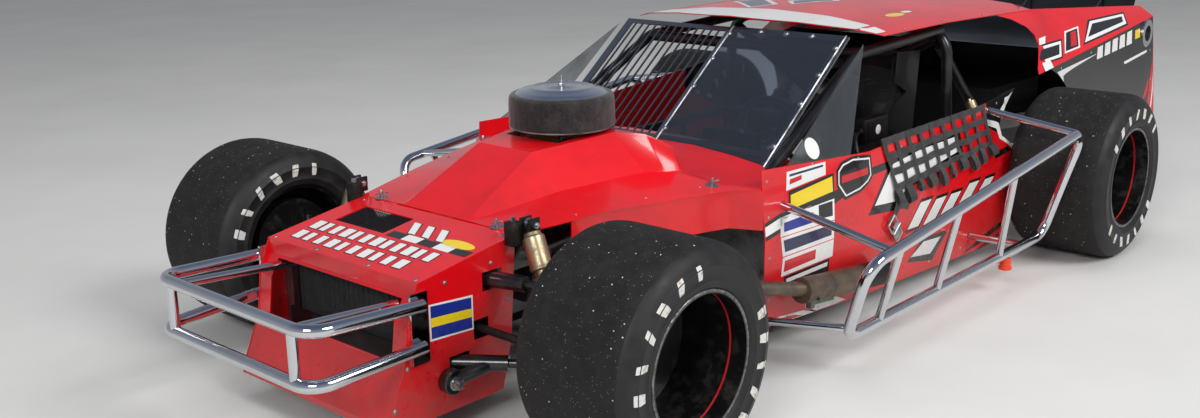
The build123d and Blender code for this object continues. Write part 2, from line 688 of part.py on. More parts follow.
def make_front_bumper():
    """Two chrome bows with their side plates, braces and inner bar."""
    reach = FRONT_AXLE + NOSE_REACH - BAR_R
    plate = NOSE_FRONT - 26
    bar = Part()
    for z0, z1 in ((437, 455), (316, 300)):
        bow = [at(plate + 30, 385, z0), at(reach, 372, z1), at(reach, -372, z1), at(plate + 30, -385, z0)]
        bar += tube(bow, BAR_R, 70)
    bar += both(tube([at(reach, 300, 300), at(reach, 300, 455)], 15))
    bar += both(tube([at(CLIP_FRONT + 30 + SEAT, STUB_Y, 418), at(reach, STUB_Y, 448)], 13))
    bar += both(block(plate, plate + 60, NOSE_Y + SEAT, NOSE_Y + SEAT + 8, 260, 470))
    return bar - block(CLIP_FRONT, CLIP_FRONT + 30 + SEAT, -NOSE_Y, NOSE_Y, CLIP_Z, POST_TOP)


def make_rear_bumper():
    """Two black bars behind the tail, joined by uprights and carried by stems on the rear rails."""
    reach = TAIL - BUMPER_STAND + BAR_R
    side_end = TAIL - SEAT
    bar = Part()
    for z in (330, 520):
        bow = [at(side_end, 690, z), at(reach, 690, z), at(reach, -690, z), at(side_end, -690, z)]
        bar += tube(bow, BAR_R, 45)
    for y in (-KICK_Y, KICK_Y):
        bar += tube([at(reach, y, 330), at(reach, y, 520)], STEM_R)
        stem_z = KICK_Z - TAIL_DROP
        bar += tube([at(TAIL_RAIL - 30 - SEAT, y, stem_z), at(reach, y, stem_z)], STEM_R)
    return bar


def side_legs(radius):
    """Legs from the left side bar through the body side to the frame rail."""
    rail_out = RAIL_Y + RAIL_W / 2 - 20
    low_b, low_a = (at(*c) for c in SIDE_LOOP[2:])
    legs = tube([low_a + (low_b - low_a) * 0.06, at(SIDE_LOOP[3][0] + 64, rail_out, 128)], radius)
    legs += tube([low_a + (low_b - low_a) * 0.88, at(SIDE_LOOP[2][0] + 100, rail_out, 128)], radius)
    return legs - both(side_rails(SEAT))


def make_side_bars():
    """Chrome side bars: a bent loop, uprights, struts to the body and legs to the frame."""
    top_a, top_b, low_b, low_a = (at(*c) for c in SIDE_LOOP)
    top, low = (top_a + top_b) / 2, (low_a + low_b) / 2
    side = tube([top, top_a, low_a, low], SIDE_BAR_R, 75) + tube([top, top_b, low_b, low], SIDE_BAR_R, 75)
    for high, foot in SIDE_POSTS:
        side += tube([top_a + (top_b - top_a) * high, low_a + (low_b - low_a) * foot], SIDE_LEG_R)
    struts = tube([top_a + (top_b - top_a) * 0.09, at(DOOR_FRONT - 100, 660, 515)], SIDE_LEG_R)
    struts += tube([top_a + (top_b - top_a) * 0.96, at(SIDE_LOOP[1][0] + 80, 740, 640)], SIDE_LEG_R)
    return both(side + (struts - inside(-PANEL - SEAT)) + side_legs(SIDE_LEG_R))


def make_air_cleaner():
    """Round filter with a covered element and a domed lid."""
    low = (Align.CENTER, Align.CENTER, Align.MIN)
    body = Pos(MID + AIR_S, 0, AIR_Z) * Cylinder(AIR_R, AIR_H, align=low)
    lid = Pos(MID + AIR_S, 0, AIR_Z + AIR_H) * Cylinder(AIR_R - 12, 22, align=low)
    lid = fillet(lid.edges().sort_by(Axis.Z)[-1], 14)
    stud = Pos(MID + AIR_S, 0, AIR_Z + AIR_H + 20) * Cylinder(5, 40, align=low)
    return body + lid + stud


def make_carburettor():
    """Four-barrel carburettor on its manifold."""
    body = block(AIR_S - 90, AIR_S + 90, -70, 70, ENGINE_TOP + SEAT, AIR_Z - 24)
    low = (Align.CENTER, Align.CENTER, Align.MIN)
    throat = Pos(MID + AIR_S, 0, AIR_Z - 24) * Cylinder(64, 24 - SEAT, align=low)
    return body + throat


def make_engine():
    """Vee engine: crankcase and sump, two banks with their covers, and the intake in the valley."""
    back = FIREWALL + PANEL + SEAT
    length = ENGINE_FRONT - back
    half_case = [(95, 200), (125, 290), (150, CRANK_Z), (120, 440)]
    case = [(-y, z) for y, z in half_case] + half_case[::-1]
    engine = extrude(section(back, case), length, dir=(1, 0, 0))
    # Banks: half width, inner and outer distance from the crankshaft, end set back
    for half, near, far, inset in ((78, 60, 240, 20), (56, 230, 292, 40)):
        bank = block(back + inset, ENGINE_FRONT - inset, -half, half, near, far)
        for tilt in (-45, 45):
            engine += Pos(0, 0, CRANK_Z) * Rot(tilt, 0, 0) * bank
    engine += block(back + 120, ENGINE_FRONT - 120, -85, 85, 430, ENGINE_TOP)
    drive = Pos(MID + ENGINE_FRONT, 0, CRANK_Z) * Rot(0, 90, 0)
    return engine + drive * Cylinder(82, 60, align=(Align.CENTER, Align.CENTER, Align.MIN))


def make_driveline():
    """Gearbox and propeller shaft."""
    shaft_end = REAR_AXLE + 150 + SEAT
    gearbox = Pos(MID + FIREWALL - SEAT, 0, 330) * Rot(0, -90, 0) * \
        Cylinder(95, 480, align=(Align.CENTER, Align.CENTER, Align.MIN))
    shaft = Pos(MID + shaft_end, 0, 330) * Rot(0, 90, 0) * \
        Cylinder(36, FIREWALL - 470 - shaft_end, align=(Align.CENTER, Align.CENTER, Align.MIN))
    return gearbox + shaft


def make_exhausts():
    """Four ports a side paired into two pipes, which join into one outlet."""
    side = Part()
    tip = at(EXHAUST_END, 806, EXHAUST_Z)
    join = at(EXHAUST_END + 340, 775, 206)
    # Pipes: station, then width and height at the bend beside the engine
    for s, y, z in ((FRONT_AXLE - 459, 700, 305), (FRONT_AXLE - 659, 712, 260)):
        pipe = [at(s, PORT_Y, PORT_Z), at(s, 460, 395), at(s - 130, y, z), at(EXHAUST_END + 470, y + 60, 225)]
        side += tube(pipe, 24, 80)
        side += tube([at(s + 85, PORT_Y, PORT_Z), at(s + 85, 300, 400), at(s, 400, 397)], 20, 40)
    side += tube([at(EXHAUST_END + 480, 766, 222), join], 44)
    side += tube([join, tip], EXHAUST_BORE + 4)
    side -= tube([tip + (join - tip) * 0.4, tip], EXHAUST_BORE)
    return both(side) - make_engine_air()


def make_engine_air():
    """Space round the engine's banks that a seated pipe keeps out of."""
    air = Part()
    for tilt in (-45, 45):
        bank = block(FIREWALL, ENGINE_FRONT + 100, -78 - SEAT, 78 + SEAT, 0, 240 + SEAT)
        air += Pos(0, 0, CRANK_Z) * Rot(tilt, 0, 0) * bank
    return air


def make_seat():
    """Wrap-round aluminium seat with hip, shoulder and head wings."""
    back = HOOP + 80
    base = profile([(back + 480, 230), (back + 80, 200), (back, 560), (back - 30, 840), (back - 8, 845),
                    (back + 22, 560), (back + 100, 222), (back + 480, 252)], 100, 440)
    wings = profile([(back + 480, 215), (back + 70, 190), (back - 5, 520), (back - 40, 850),
                     (back + 150, 860), (back + 160, 740), (back + 60, 690), (back + 190, 640),
                     (back + 210, 560), (back + 110, 500), (back + 200, 420), (back + 460, 370)], 96, 444)
    wings -= block(back - 60, back + 520, 100 - SEAT, 440 + SEAT, 100, 900)
    rail = block(back + 140, back + 200, 110, 430, RAIL_Z + RAIL_H - 11 + SEAT, 212)
    rail -= profile([(back + 480, 230), (back + 80, 200), (back + 80, 300), (back + 480, 300)], 90, 450)
    return base + wings + rail


def make_steering_wheel():
    """Rim, spokes, hub and column."""
    centre = at(WS_TOP + 60, 270, 585)
    tilt = Plane(centre, z_dir=Vector(-0.94, 0, 0.34))
    wheel = tilt * Torus(165, 13) + tilt * Cylinder(34, 24)
    for angle in (90, 210, 330):
        wheel += tilt * Rot(0, 0, angle) * Pos(80, 0, 0) * Box(170, 24, 6)
    column = tube([centre + Vector(10, 0, -4), at(DASH, 270, DASH_Z)], 14)
    return wheel + column - dash_tube(CAGE_R + SEAT)


def make_net():
    """Window net that hangs over the driver's door."""
    outline = [(NET_FRONT, 640), (NET_REAR, 664), (NET_REAR - 80, 445), (NET_FRONT - 100, 380)]
    return side_slab(-8, -SEAT) & profile(outline, 500, 1000)


def make_front_arms():
    """Upper and lower arms a side, with their ball joints."""
    side = Part()
    for z, forward, back in ((UPPER_ARM_Z, UPPER_FORWARD, UPPER_BACK),
                             (LOWER_ARM_Z, LOWER_FORWARD, LOWER_BACK)):
        joint = at(FRONT_AXLE, KING_Y - 14, z)
        for ds in (forward, back):
            side += tube([joint, at(FRONT_AXLE + ds, ARM_ROOT_Y - 10, z)], ARM_R)
        root = at(FRONT_AXLE + forward, ARM_ROOT_Y - 10, z)
        side += tube([root, (root + joint) / 2], SLEEVE_R)
        side += Pos(MID + FRONT_AXLE, KING_Y, z) * Cylinder(20, JOINT_H)
    s, y, _ = SHOCK_FOOT
    side += block(s - 40, s + 50, y - 25, y + 20, LOWER_ARM_Z - 4, LOWER_ARM_Z + ARM_R + 1)
    return both(side) - block(FRONT_AXLE - 400, FRONT_AXLE + 400, -ARM_ROOT_Y, ARM_ROOT_Y, 100, 600)


def coilover(low, high):
    """Damper rod and eyes, with the spring low down and the damper's body above it."""
    run = high - low
    spring = tube([low + run * 0.2, low + run * 0.6], SPRING_R)
    body = tube([low + run * 0.6, low + run * 0.9], DAMPER_R)
    return tube([low, high], DAMPER_ROD_R) + spring + body


def make_coilovers():
    """Spring and damper at each corner, seated on the arms, the axle and the frame."""
    front = coilover(at(*SHOCK_FOOT), at(*SHOCK_TOP))
    s = SHOCK_FOOT[0]
    front -= block(s - 100, s + 100, 400, 700, 100, LOWER_ARM_Z + ARM_R + 1 + SEAT)
    front -= shock_bracket(SHOCK_STUB_R + SEAT)
    rear = coilover(at(REAR_AXLE, 600, REAR_TYRE_R + 20), at(REAR_AXLE, 462, 602))
    rear -= rear_stays(CAGE_R + SEAT)
    rear -= Pos(MID + REAR_AXLE, 0, REAR_TYRE_R) * Rot(90, 0, 0) * Cylinder(AXLE_R + SEAT, 2000)
    return both(front + rear)


def make_rear_housing():
    """Quick-change centre, axle tubes and bells."""
    z = REAR_TYRE_R
    half = REAR_RIM_FACE - DISH - CENTRE_T - HUB_L - LINK_GAP
    tubes = Pos(MID + REAR_AXLE, 0, z) * Rot(90, 0, 0) * Cylinder(AXLE_R, 2 * half)
    centre = Pos(MID + REAR_AXLE, 0, z - 10) * Rot(0, 90, 0) * Cylinder(115, 300)
    bells = Pos(MID + REAR_AXLE, 0, z) * Rot(90, 0, 0) * Cylinder(105, 260)
    return tubes + centre + bells


def make_rear_links():
    """Trailing arms to the rear crossmember, and a track bar behind the axle."""
    z = REAR_TYRE_R
    front = RAIL_REAR - 30 - SEAT
    side = tube([at(REAR_AXLE, LINK_Y, z - 75), at(front - 14, LINK_Y, 150)], 13)
    side += block(front - 26, front, LINK_Y - 14, LINK_Y + 14, 130, 170)
    side += block(REAR_AXLE - 25, REAR_AXLE + 25, LINK_Y - 14, LINK_Y + 14, z - 90, z - 20)
    links = both(side) - Pos(MID + REAR_AXLE, 0, z) * Rot(90, 0, 0) * Cylinder(AXLE_R + SEAT, 2000)
    track = REAR_AXLE - 190
    bar = tube([at(track, KICK_Y - 10, 300), at(track, -380, 300)], 12)
    bar += block(track - 15, track + 15, KICK_Y - 20, KICK_Y, 290, KICK_Z - KICK_H / 2 - SEAT)
    bar += block(track - 15, REAR_AXLE, -390, -370, 290, 330)
    bar -= Pos(MID + REAR_AXLE, 0, z) * Rot(90, 0, 0) * Cylinder(AXLE_R + SEAT, 2000)
    return links + bar


def make_knuckle():
    """Left upright with its spindle and steering arm."""
    z = FRONT_TYRE_R
    low = LOWER_ARM_Z + JOINT_H / 2 + LINK_GAP
    high = UPPER_ARM_Z - JOINT_H / 2 - LINK_GAP
    upright = block(FRONT_AXLE - 24, FRONT_AXLE + 24, KING_Y - 20, KING_Y + 20, low, high)
    end = FRONT_RIM_FACE - DISH - CENTRE_T - 15
    spindle = Pos(MID + FRONT_AXLE, KING_Y, z) * Rot(-90, 0, 0) * \
        Cylinder(SPINDLE_R, end - KING_Y, align=(Align.CENTER, Align.CENTER, Align.MIN))
    arm = block(FRONT_AXLE + 10, FRONT_AXLE + STEER_ARM, KING_Y - 16, KING_Y + 16,
                STEER_ARM_Z - 16, STEER_ARM_Z)
    arm += Pos(MID + FRONT_AXLE + STEER_ARM, KING_Y, STEER_ARM_Z - 8) * Cylinder(18, 16)
    disc = FRONT_RIM_FACE - DISH - DISC_SET
    gap = CALIPER_GAP
    back = FRONT_AXLE - DISC_R
    caliper = block(back - 28, back + 50, disc - DISC_T - gap - 24, disc + gap + 24, z - 62, z + 62)
    caliper -= block(back - gap, back + 60, disc - DISC_T - gap, disc + gap, z - 70, z + 70)
    caliper += block(back + 30, back + 50, KING_Y - 10, disc - DISC_T - gap - 4, z - 20, z + 20)
    caliper += block(back + 30, FRONT_AXLE - 10, KING_Y - 10, KING_Y + 10, z - 20, z + 20)
    return upright + spindle + arm + caliper


def make_steering_link():
    """Cross rod between the two steering arms."""
    s = FRONT_AXLE + STEER_ARM
    rod = tube([at(s, -KING_Y, LINK_Z), at(s, KING_Y, LINK_Z)], LINK_R)
    return rod


def make_tyre(axle, radius, face):
    """Wide slick on its beads."""
    out, inner = face + 12, face + 12 - TYRE_W
    bead = RIM_W - 16
    outline = [(BEAD_R + SEAT, face - 16), (RIM_R + 40, out - 2), (radius - 55, out), (radius - 12, out - 26),
               (radius, out - 60), (radius, inner + 60), (radius - 12, inner + 26), (radius - 55, inner),
               (RIM_R + 40, inner + 2), (BEAD_R + SEAT, face - bead)]
    ring = revolve(Face(Wire.make_polygon([Vector(r, y, 0) for r, y in outline], close=True)), Axis.Y)
    return Pos(MID + axle, 0, radius) * ring


def make_rim(axle, radius, face, bored):
    """Deep steel rim with its centre, hub and brake disc."""
    back = face - RIM_W
    bolt = face - DISH
    inner = BEAD_R - RIM_T
    disc = bolt - DISC_SET
    tail = bolt - CENTRE_T - HUB_L
    outline = [(RIM_R, face), (RIM_R, face - 12), (BEAD_R, face - 13), (BEAD_R, back + 13),
               (RIM_R, back + 12), (RIM_R, back), (inner, back), (inner, bolt - CENTRE_T),
               (HUB_R, bolt - CENTRE_T),
               (HUB_R, disc), (DISC_R, disc), (DISC_R, disc - DISC_T), (HUB_R, disc - DISC_T), (HUB_R, tail)]
    if bored:
        bore = SPINDLE_R + SEAT
        outline += [(bore, tail), (bore, bolt - CENTRE_T - 10), (0, bolt - CENTRE_T - 10)]
    else:
        outline += [(0, tail)]
    outline += [(0, bolt), (HUB_R, bolt), (inner, bolt + 26), (inner, face)]
    ring = revolve(Face(Wire.make_polygon([Vector(r, y, 0) for r, y in outline], close=True)), Axis.Y)
    return Pos(MID + axle, 0, radius) * ring


nodes = {
    "frame": make_frame(),
    "main_hoop": make_main_hoop(),
    "roll_cage": make_cage(),
    "door_bars": make_door_bars(),
    "cage_stays": make_cage_stays(),
    "floor_tub": make_tub(),
    "nose_top": make_nose_top(),
    "nose_sides": make_nose_sides(),
    "front_valance": make_front_valance(),
    "radiator": make_radiator(),
    "hood": make_hood(),
    "fender_sides": make_fender_sides(),
    "cowl": make_cowl(),
    "side_panels": make_side_panels(),
    "quarter_panels": make_quarters(),
    "roof": make_roof(),
    "sail_panels": make_sail_panels(),
    "windshield": make_windshield(),
    "windshield_frame": make_windshield_frame(),
    "vent_windows": make_vents(),
    "rear_window": make_rear_window(),
    "rear_deck": make_deck(),
    "tail_panel": make_tail_panel(),
    "spoiler": make_spoiler(),
    "spoiler_braces": make_spoiler_braces(),
    "fuel_filler": make_filler(),
    "fuel_cell": make_fuel_cell(),
    "front_bumper": make_front_bumper(),
    "rear_bumper": make_rear_bumper(),
    "side_bars": make_side_bars(),
    "air_cleaner": make_air_cleaner(),
    "carburettor": make_carburettor(),
    "engine": make_engine(),
    "driveline": make_driveline(),
    "exhausts": make_exhausts(),
    "seat": make_seat(),
    "steering_wheel": make_steering_wheel(),
    "window_net": make_net(),
    "front_arms": make_front_arms(),
    "coilovers": make_coilovers(),
    "rear_housing": make_rear_housing(),
    "rear_links": make_rear_links(),
    "knuckle_left": make_knuckle(),
    "knuckle_right": mirror_y(make_knuckle()),
    "steering_link": make_steering_link(),
}
for corner, axle, radius, face in (("front", FRONT_AXLE, FRONT_TYRE_R, FRONT_RIM_FACE),
                                   ("rear", REAR_AXLE, REAR_TYRE_R, REAR_RIM_FACE)):
    tyre = make_tyre(axle, radius, face)
    rim = make_rim(axle, radius, face, corner == "front")
    nodes[f"tyre_{corner}_left"], nodes[f"tyre_{corner}_right"] = tyre, mirror_y(tyre)
    nodes[f"rim_{corner}_left"], nodes[f"rim_{corner}_right"] = rim, mirror_y(rim)

os.makedirs("parts", exist_ok=True)
for name, shape in nodes.items():
    export_step(shape, f"parts/{name}.step")
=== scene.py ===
import math

import bmesh
import bpy
from mathutils import Matrix, Vector
from mathutils.bvhtree import BVHTree


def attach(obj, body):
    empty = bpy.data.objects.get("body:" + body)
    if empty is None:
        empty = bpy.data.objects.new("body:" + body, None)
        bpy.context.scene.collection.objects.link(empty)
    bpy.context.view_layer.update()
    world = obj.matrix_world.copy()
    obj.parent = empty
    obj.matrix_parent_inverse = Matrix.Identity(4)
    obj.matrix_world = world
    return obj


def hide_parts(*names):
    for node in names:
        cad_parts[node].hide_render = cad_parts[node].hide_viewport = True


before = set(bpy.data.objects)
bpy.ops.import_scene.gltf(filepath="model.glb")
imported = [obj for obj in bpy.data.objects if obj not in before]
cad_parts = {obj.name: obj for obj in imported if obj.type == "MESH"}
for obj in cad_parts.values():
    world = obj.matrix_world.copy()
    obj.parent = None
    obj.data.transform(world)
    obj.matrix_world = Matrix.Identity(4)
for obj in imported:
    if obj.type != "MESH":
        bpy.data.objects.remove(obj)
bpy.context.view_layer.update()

# The camera stands ahead of the car's left front corner, a little above the roof, and looks
# down across the nose with a normal lens, level but for a slight roll.
EYE = (4.0825, 2.946, 1.584)
LENS_MM, SENSOR_MM = 37.58, 36
HEADING, LOOK_DOWN, ROLL = map(math.radians, (132.338, 15.078, -0.848))
eye = bpy.data.cameras.new("camera")
eye.lens = LENS_MM
eye.sensor_width = SENSOR_MM
camera = bpy.data.objects.new("camera", eye)
camera.location = EYE
camera.rotation_euler = (math.pi / 2 - LOOK_DOWN, 0, HEADING)
camera.rotation_euler.rotate_axis("Z", ROLL)
scene = bpy.context.scene
scene.collection.objects.link(camera)
scene.camera = camera
scene.view_settings.view_transform = "Standard"


# The floor is a wide sheet of pale painted screed, plain and matt, that runs past the view
# on all sides. Nothing is fixed to it: the tyres stand on it.
def linear(code):
    """Linear colour of an sRGB hex value."""
    parts = [int(code[i:i + 2], 16) / 255 for i in (0, 2, 4)]
    return tuple(c / 12.92 if c <= 0.04045 else ((c + 0.055) / 1.055) ** 2.4 for c in parts) + (1.0,)


def add(tree, kind, settings=None, links=None):
    """Adds one node. Settings are its properties or inputs, links are the sockets its inputs read."""
    node = tree.nodes.new(kind)
    for key, value in (settings or {}).items():
        if isinstance(key, int) or key in node.inputs:
            node.inputs[key].default_value = value
        else:
            setattr(node, key, value)
    for key, socket in (links or {}).items():
        tree.links.new(socket, node.inputs[key])
    return node


def start(name, colour, roughness, metallic=0.0, sockets=None):
    """Starts a finish with the values that are the same all over it."""
    finish = bpy.data.materials.new(name)
    finish.use_nodes = True
    even = {"Base Color": linear(colour), "Roughness": roughness, "Metallic": metallic, **(sockets or {})}
    for socket, value in even.items():
        finish.node_tree.nodes["Principled BSDF"].inputs[socket].default_value = value
    return finish


def pattern(finish, kind, settings, stretch=(1, 1, 1), shift=(0, 0, 0)):
    """Adds a texture on the piece's own coordinates, stretched and shifted where it needs to be."""
    place = add(finish.node_tree, "ShaderNodeTexCoord")
    turn = add(finish.node_tree, "ShaderNodeMapping", {"Scale": stretch, "Location": shift},
               {"Vector": place.outputs["Object"]})
    return add(finish.node_tree, kind, settings, {"Vector": turn.outputs[0]})


def press(finish, height, depth):
    """Raises the surface by a pattern's height, with a real depth in millimetres."""
    tree = finish.node_tree
    bump = add(tree, "ShaderNodeBump", {"Distance": depth / 1000}, {"Height": height})
    normal = tree.nodes["Principled BSDF"].inputs["Normal"]
    if normal.is_linked:
        tree.links.new(normal.links[0].from_socket, bump.inputs["Normal"])
    tree.links.new(bump.outputs[0], normal)


def tint(finish, share, colour, rough=None):
    """Mixes a colour into a finish by a share from 0 to 1, and its roughness along with it."""
    tree = finish.node_tree
    inputs = tree.nodes["Principled BSDF"].inputs
    base = inputs["Base Color"]
    under = {6: base.links[0].from_socket} if base.is_linked else {}
    mix = add(tree, "ShaderNodeMix", {"data_type": "RGBA", 6: base.default_value, 7: linear(colour)},
              {0: share, **under})
    tree.links.new(mix.outputs[2], base)
    if rough is not None:
        gloss = add(tree, "ShaderNodeMapRange", {"To Min": inputs["Roughness"].default_value,
                                                 "To Max": rough},
                    {"Value": share})
        tree.links.new(gloss.outputs[0], inputs["Roughness"])


def relief(finish, grain, depth, stretch=(1, 1, 1), detail=2.0):
    """Raises the surface by noise with a real grain and depth, in millimetres."""
    noise = pattern(finish, "ShaderNodeTexNoise", {"Scale": 1000 / grain, "Detail": detail}, stretch)
    press(finish, noise.outputs[0], depth)


def weather(finish, colour, patch, low, high, rough=None):
    """Tints patches of a real size, in millimetres, where the noise passes from low to high."""
    noise = pattern(finish, "ShaderNodeTexNoise", {"Scale": 1000 / patch, "Detail": 5.0, "Roughness": 0.62})
    share = add(finish.node_tree, "ShaderNodeMapRange", {"From Min": low, "From Max": high},
                {"Value": noise.outputs[0]})
    tint(finish, share.outputs[0], colour, rough)


FLOOR_REACH = 30.0
bm = bmesh.new()
bmesh.ops.create_grid(bm, x_segments=4, y_segments=4, size=FLOOR_REACH)
mesh = bpy.data.meshes.new("floor")
bm.to_mesh(mesh)
bm.free()
floor = bpy.data.objects.new("floor", mesh)
scene.collection.objects.link(floor)
# Painted screed: even and matt, with a faint mottle that keeps the shadow soft.
screed = start("painted_screed", "dcdcda", 0.75)
weather(screed, "d4d4d1", 900, 0.35, 0.75)
relief(screed, 3, 0.15)
mesh.materials.append(screed)

# Light comes from three soft boxes and a pale room: a broad one over the driver's side, one
# overhead and one ahead of the nose. Gloss and glass see a room that darkens upwards.
world = bpy.data.worlds.new("room")
scene.world = world
world.use_nodes = True
tree = world.node_tree
AMBIENT, COOLER = 0.30, 1.04
SKY_FOOT, SKY_HEAD = -0.1, 0.9
place = add(tree, "ShaderNodeTexCoord")
split = add(tree, "ShaderNodeSeparateXYZ", None, {0: place.outputs["Generated"]})
height = add(tree, "ShaderNodeMapRange", {"From Min": SKY_FOOT, "From Max": SKY_HEAD},
             {"Value": split.outputs["Z"]})
sky = add(tree, "ShaderNodeValToRGB", None, {0: height.outputs[0]})
sky.color_ramp.elements[0].color = linear("a6a9ae")
sky.color_ramp.elements[0].position = 0.12
sky.color_ramp.elements[1].color = linear("56627a")
ray = add(tree, "ShaderNodeLightPath")
seen = add(tree, "ShaderNodeMath", {"operation": "MAXIMUM"},
           {0: ray.outputs["Is Camera Ray"], 1: ray.outputs["Is Glossy Ray"]})
seen = add(tree, "ShaderNodeMath", {"operation": "MAXIMUM"},
           {0: seen.outputs[0], 1: ray.outputs["Is Transmission Ray"]})
room = add(tree, "ShaderNodeMix", {"data_type": "RGBA", 6: (AMBIENT, AMBIENT, AMBIENT * COOLER, 1)},
           {0: seen.outputs[0], 7: sky.outputs[0]})
tree.links.new(room.outputs[2], tree.nodes["Background"].inputs["Color"])

# name, where it hangs, its size and its power in watts; all are turned to the car's middle
MIDDLE = Vector((0, 0, 0.4))
for name, spot, size, power in (("side", (-0.6, 9.3, 8.1), (6.0, 4.2), 810),
                                ("top", (0.4, 0.3, 6.4), (5.5, 3.0), 120),
                                ("front", (9.9, 4.2, 6.4), (3.6, 3.0), 450)):
    lamp = bpy.data.lights.new("lamp_" + name, "AREA")
    lamp.shape = "RECTANGLE"
    lamp.size, lamp.size_y = size
    lamp.energy = power
    soft_box = bpy.data.objects.new("lamp_" + name, lamp)
    soft_box.location = spot
    soft_box.rotation_euler = (MIDDLE - soft_box.location).to_track_quat("-Z", "Y").to_euler()
    scene.collection.objects.link(soft_box)
    soft_box.visible_glossy = name != "top"


# The frame, the cage and its bars are welded steel tube and box section, painted after
# welding. Everything else on the car is bolted to them.
SAME_PLACE = 0.00002


def dress(finish, *names, angle=32):
    """Gives CAD nodes a finish, and shades faces smooth where they meet under an angle in degrees."""
    for name in names:
        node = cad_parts[name]
        node.data.materials.clear()
        node.data.materials.append(finish)
        for face in node.data.polygons:
            face.use_smooth = True
        weld = node.modifiers.new("weld", "WELD")
        weld.merge_threshold = SAME_PLACE
        edges = node.modifiers.new("edges", "EDGE_SPLIT")
        edges.split_angle = math.radians(angle)


# Satin black chassis enamel: a thin sprayed coat, slightly pebbled, with pale dust on it.
enamel = start("chassis_enamel_sprayed", "131315", 0.32, 0.0,
               {"Coat Weight": 0.35, "Coat Roughness": 0.18})
weather(enamel, "3b3833", 60, 0.52, 0.86, 0.6)
relief(enamel, 2.2, 0.05)
dress(enamel, "frame", "main_hoop", "roll_cage", "door_bars", "cage_stays", "rear_bumper", "spoiler_braces")

# Mill aluminium sheet: rolled lengthways, dull grey, with rubber dust trodden into the floor.
rolled = start("mill_aluminium_rolled", "a4a6a8", 0.38, 1.0)
weather(rolled, "4a4744", 90, 0.46, 0.74, 0.7)
relief(rolled, 1.2, 0.03, (0.06, 1, 1))
dress(rolled, "floor_tub")


# The tub, the dash and the ducts are folded from aluminium sheet and riveted to the frame. The
# dash carries a tachometer and a row of switches on the driver's side.
def fit(name, bm, finish, body, smooth=35, turn=True):
    """Makes a bmesh a piece of the car, on its body, with its finish."""
    if turn:
        bmesh.ops.recalc_face_normals(bm, faces=bm.faces)
    for face in bm.faces:
        face.smooth = True
    for edge in bm.edges:
        edge.smooth = edge.is_manifold and edge.calc_face_angle() < math.radians(smooth)
    mesh = bpy.data.meshes.new(name)
    bm.to_mesh(mesh)
    bm.free()
    mesh.materials.append(finish)
    piece = bpy.data.objects.new(name, mesh)
    scene.collection.objects.link(piece)
    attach(piece, body)
    return piece


def pointed(spot, axis):
    """Placement that moves a shape to a spot and turns its z along an axis."""
    return Matrix.Translation(spot) @ axis.to_track_quat("Z", "Y").to_matrix().to_4x4()


def rod(bm, low, high, radius, sides=12, tip=None):
    """Adds a round bar between two points, tapered where tip gives its other radius."""
    low, high = Vector(low), Vector(high)
    bmesh.ops.create_cone(bm, cap_ends=True, segments=sides, radius1=radius,
                          radius2=radius if tip is None else tip, depth=(high - low).length,
                          matrix=pointed((low + high) / 2, high - low))


def turned(bm, outline, centre, axis, steps=48):
    """Spins an outline of radius and height round an axis, and closes its poles."""
    centre, axis = Vector(centre), Vector(axis)
    place = pointed(centre, axis)
    points = [bm.verts.new(place @ Vector((r, 0, h))) for r, h in outline]
    lines = [bm.edges.new(pair) for pair in zip(points, points[1:])]
    bmesh.ops.spin(bm, geom=points + lines, cent=centre, axis=axis, angle=math.tau, steps=steps,
                   use_merge=True)
    bmesh.ops.remove_doubles(bm, verts=bm.verts, dist=SAME_PLACE / 2)


def box(bm, low, high, edge=0.002, turn=None):
    """Adds a block with eased edges, turned about its middle where turn is given."""
    low, high = Vector(low), Vector(high)
    spot = Matrix.Translation((low + high) / 2) @ (turn or Matrix.Identity(4))
    made = bmesh.ops.create_cube(bm, size=1, matrix=spot @ Matrix.Diagonal((*(high - low), 1)))
    edges = list({e for v in made["verts"] for e in v.link_edges})
    bmesh.ops.bevel(bm, geom=edges, offset=edge, affect="EDGES", segments=2, profile=0.5, material=-1)


def bent(points, resolution, radius=0.0, sides=0):
    """Mesh of a line that runs smoothly past the points, as a closed tube where it has a radius."""
    line = bpy.data.curves.new("line", "CURVE")
    line.dimensions = "3D"
    run = line.splines.new("NURBS")
    run.points.add(len(points) - 1)
    for knot, point in zip(run.points, points):
        knot.co = (*point, 1)
    run.order_u = 3
    run.use_endpoint_u = True
    line.resolution_u = resolution
    line.bevel_depth = radius
    line.bevel_resolution = sides
    line.use_fill_caps = radius > 0
    shape = bpy.data.objects.new("line", line)
    mesh = bpy.data.meshes.new_from_object(shape)
    bpy.data.objects.remove(shape)
    return mesh


def piped(bm, points, radius, sides=3):
    """Adds a bent tube that runs smoothly past the given points."""
    mesh = bent(points, 8, radius, sides)
    bm.from_mesh(mesh)
    bpy.data.meshes.remove(mesh)


# Anodised black sheet: even, finely brushed, with a soft sheen.
anodised = start("black_aluminium_anodised", "1a1b1e", 0.42, 0.85)
relief(anodised, 0.8, 0.02, (0.05, 1, 1))
DASH_X, DASH_HALF, DASH_FOOT, DASH_HEAD, DASH_THICK = 0.430, 0.50, 0.470, 0.600, 0.004
bm = bmesh.new()
box(bm, (DASH_X - DASH_THICK / 2, -DASH_HALF, DASH_FOOT), (DASH_X + DASH_THICK / 2, DASH_HALF, DASH_HEAD),
    0.0015)
box(bm, (0.404, 0.06, DASH_HEAD - DASH_THICK), (0.428, DASH_HALF, DASH_HEAD), 0.0015)
box(bm, (0.418, 0.14, DASH_HEAD), (0.428, 0.40, 0.655), 0.004)
for y in (-0.40, -0.10, 0.10, 0.40):
    rod(bm, (DASH_X, y, 0.49), (0.665, y, 0.522), 0.006, 8)
fit("dash_panel", bm, anodised, "root")

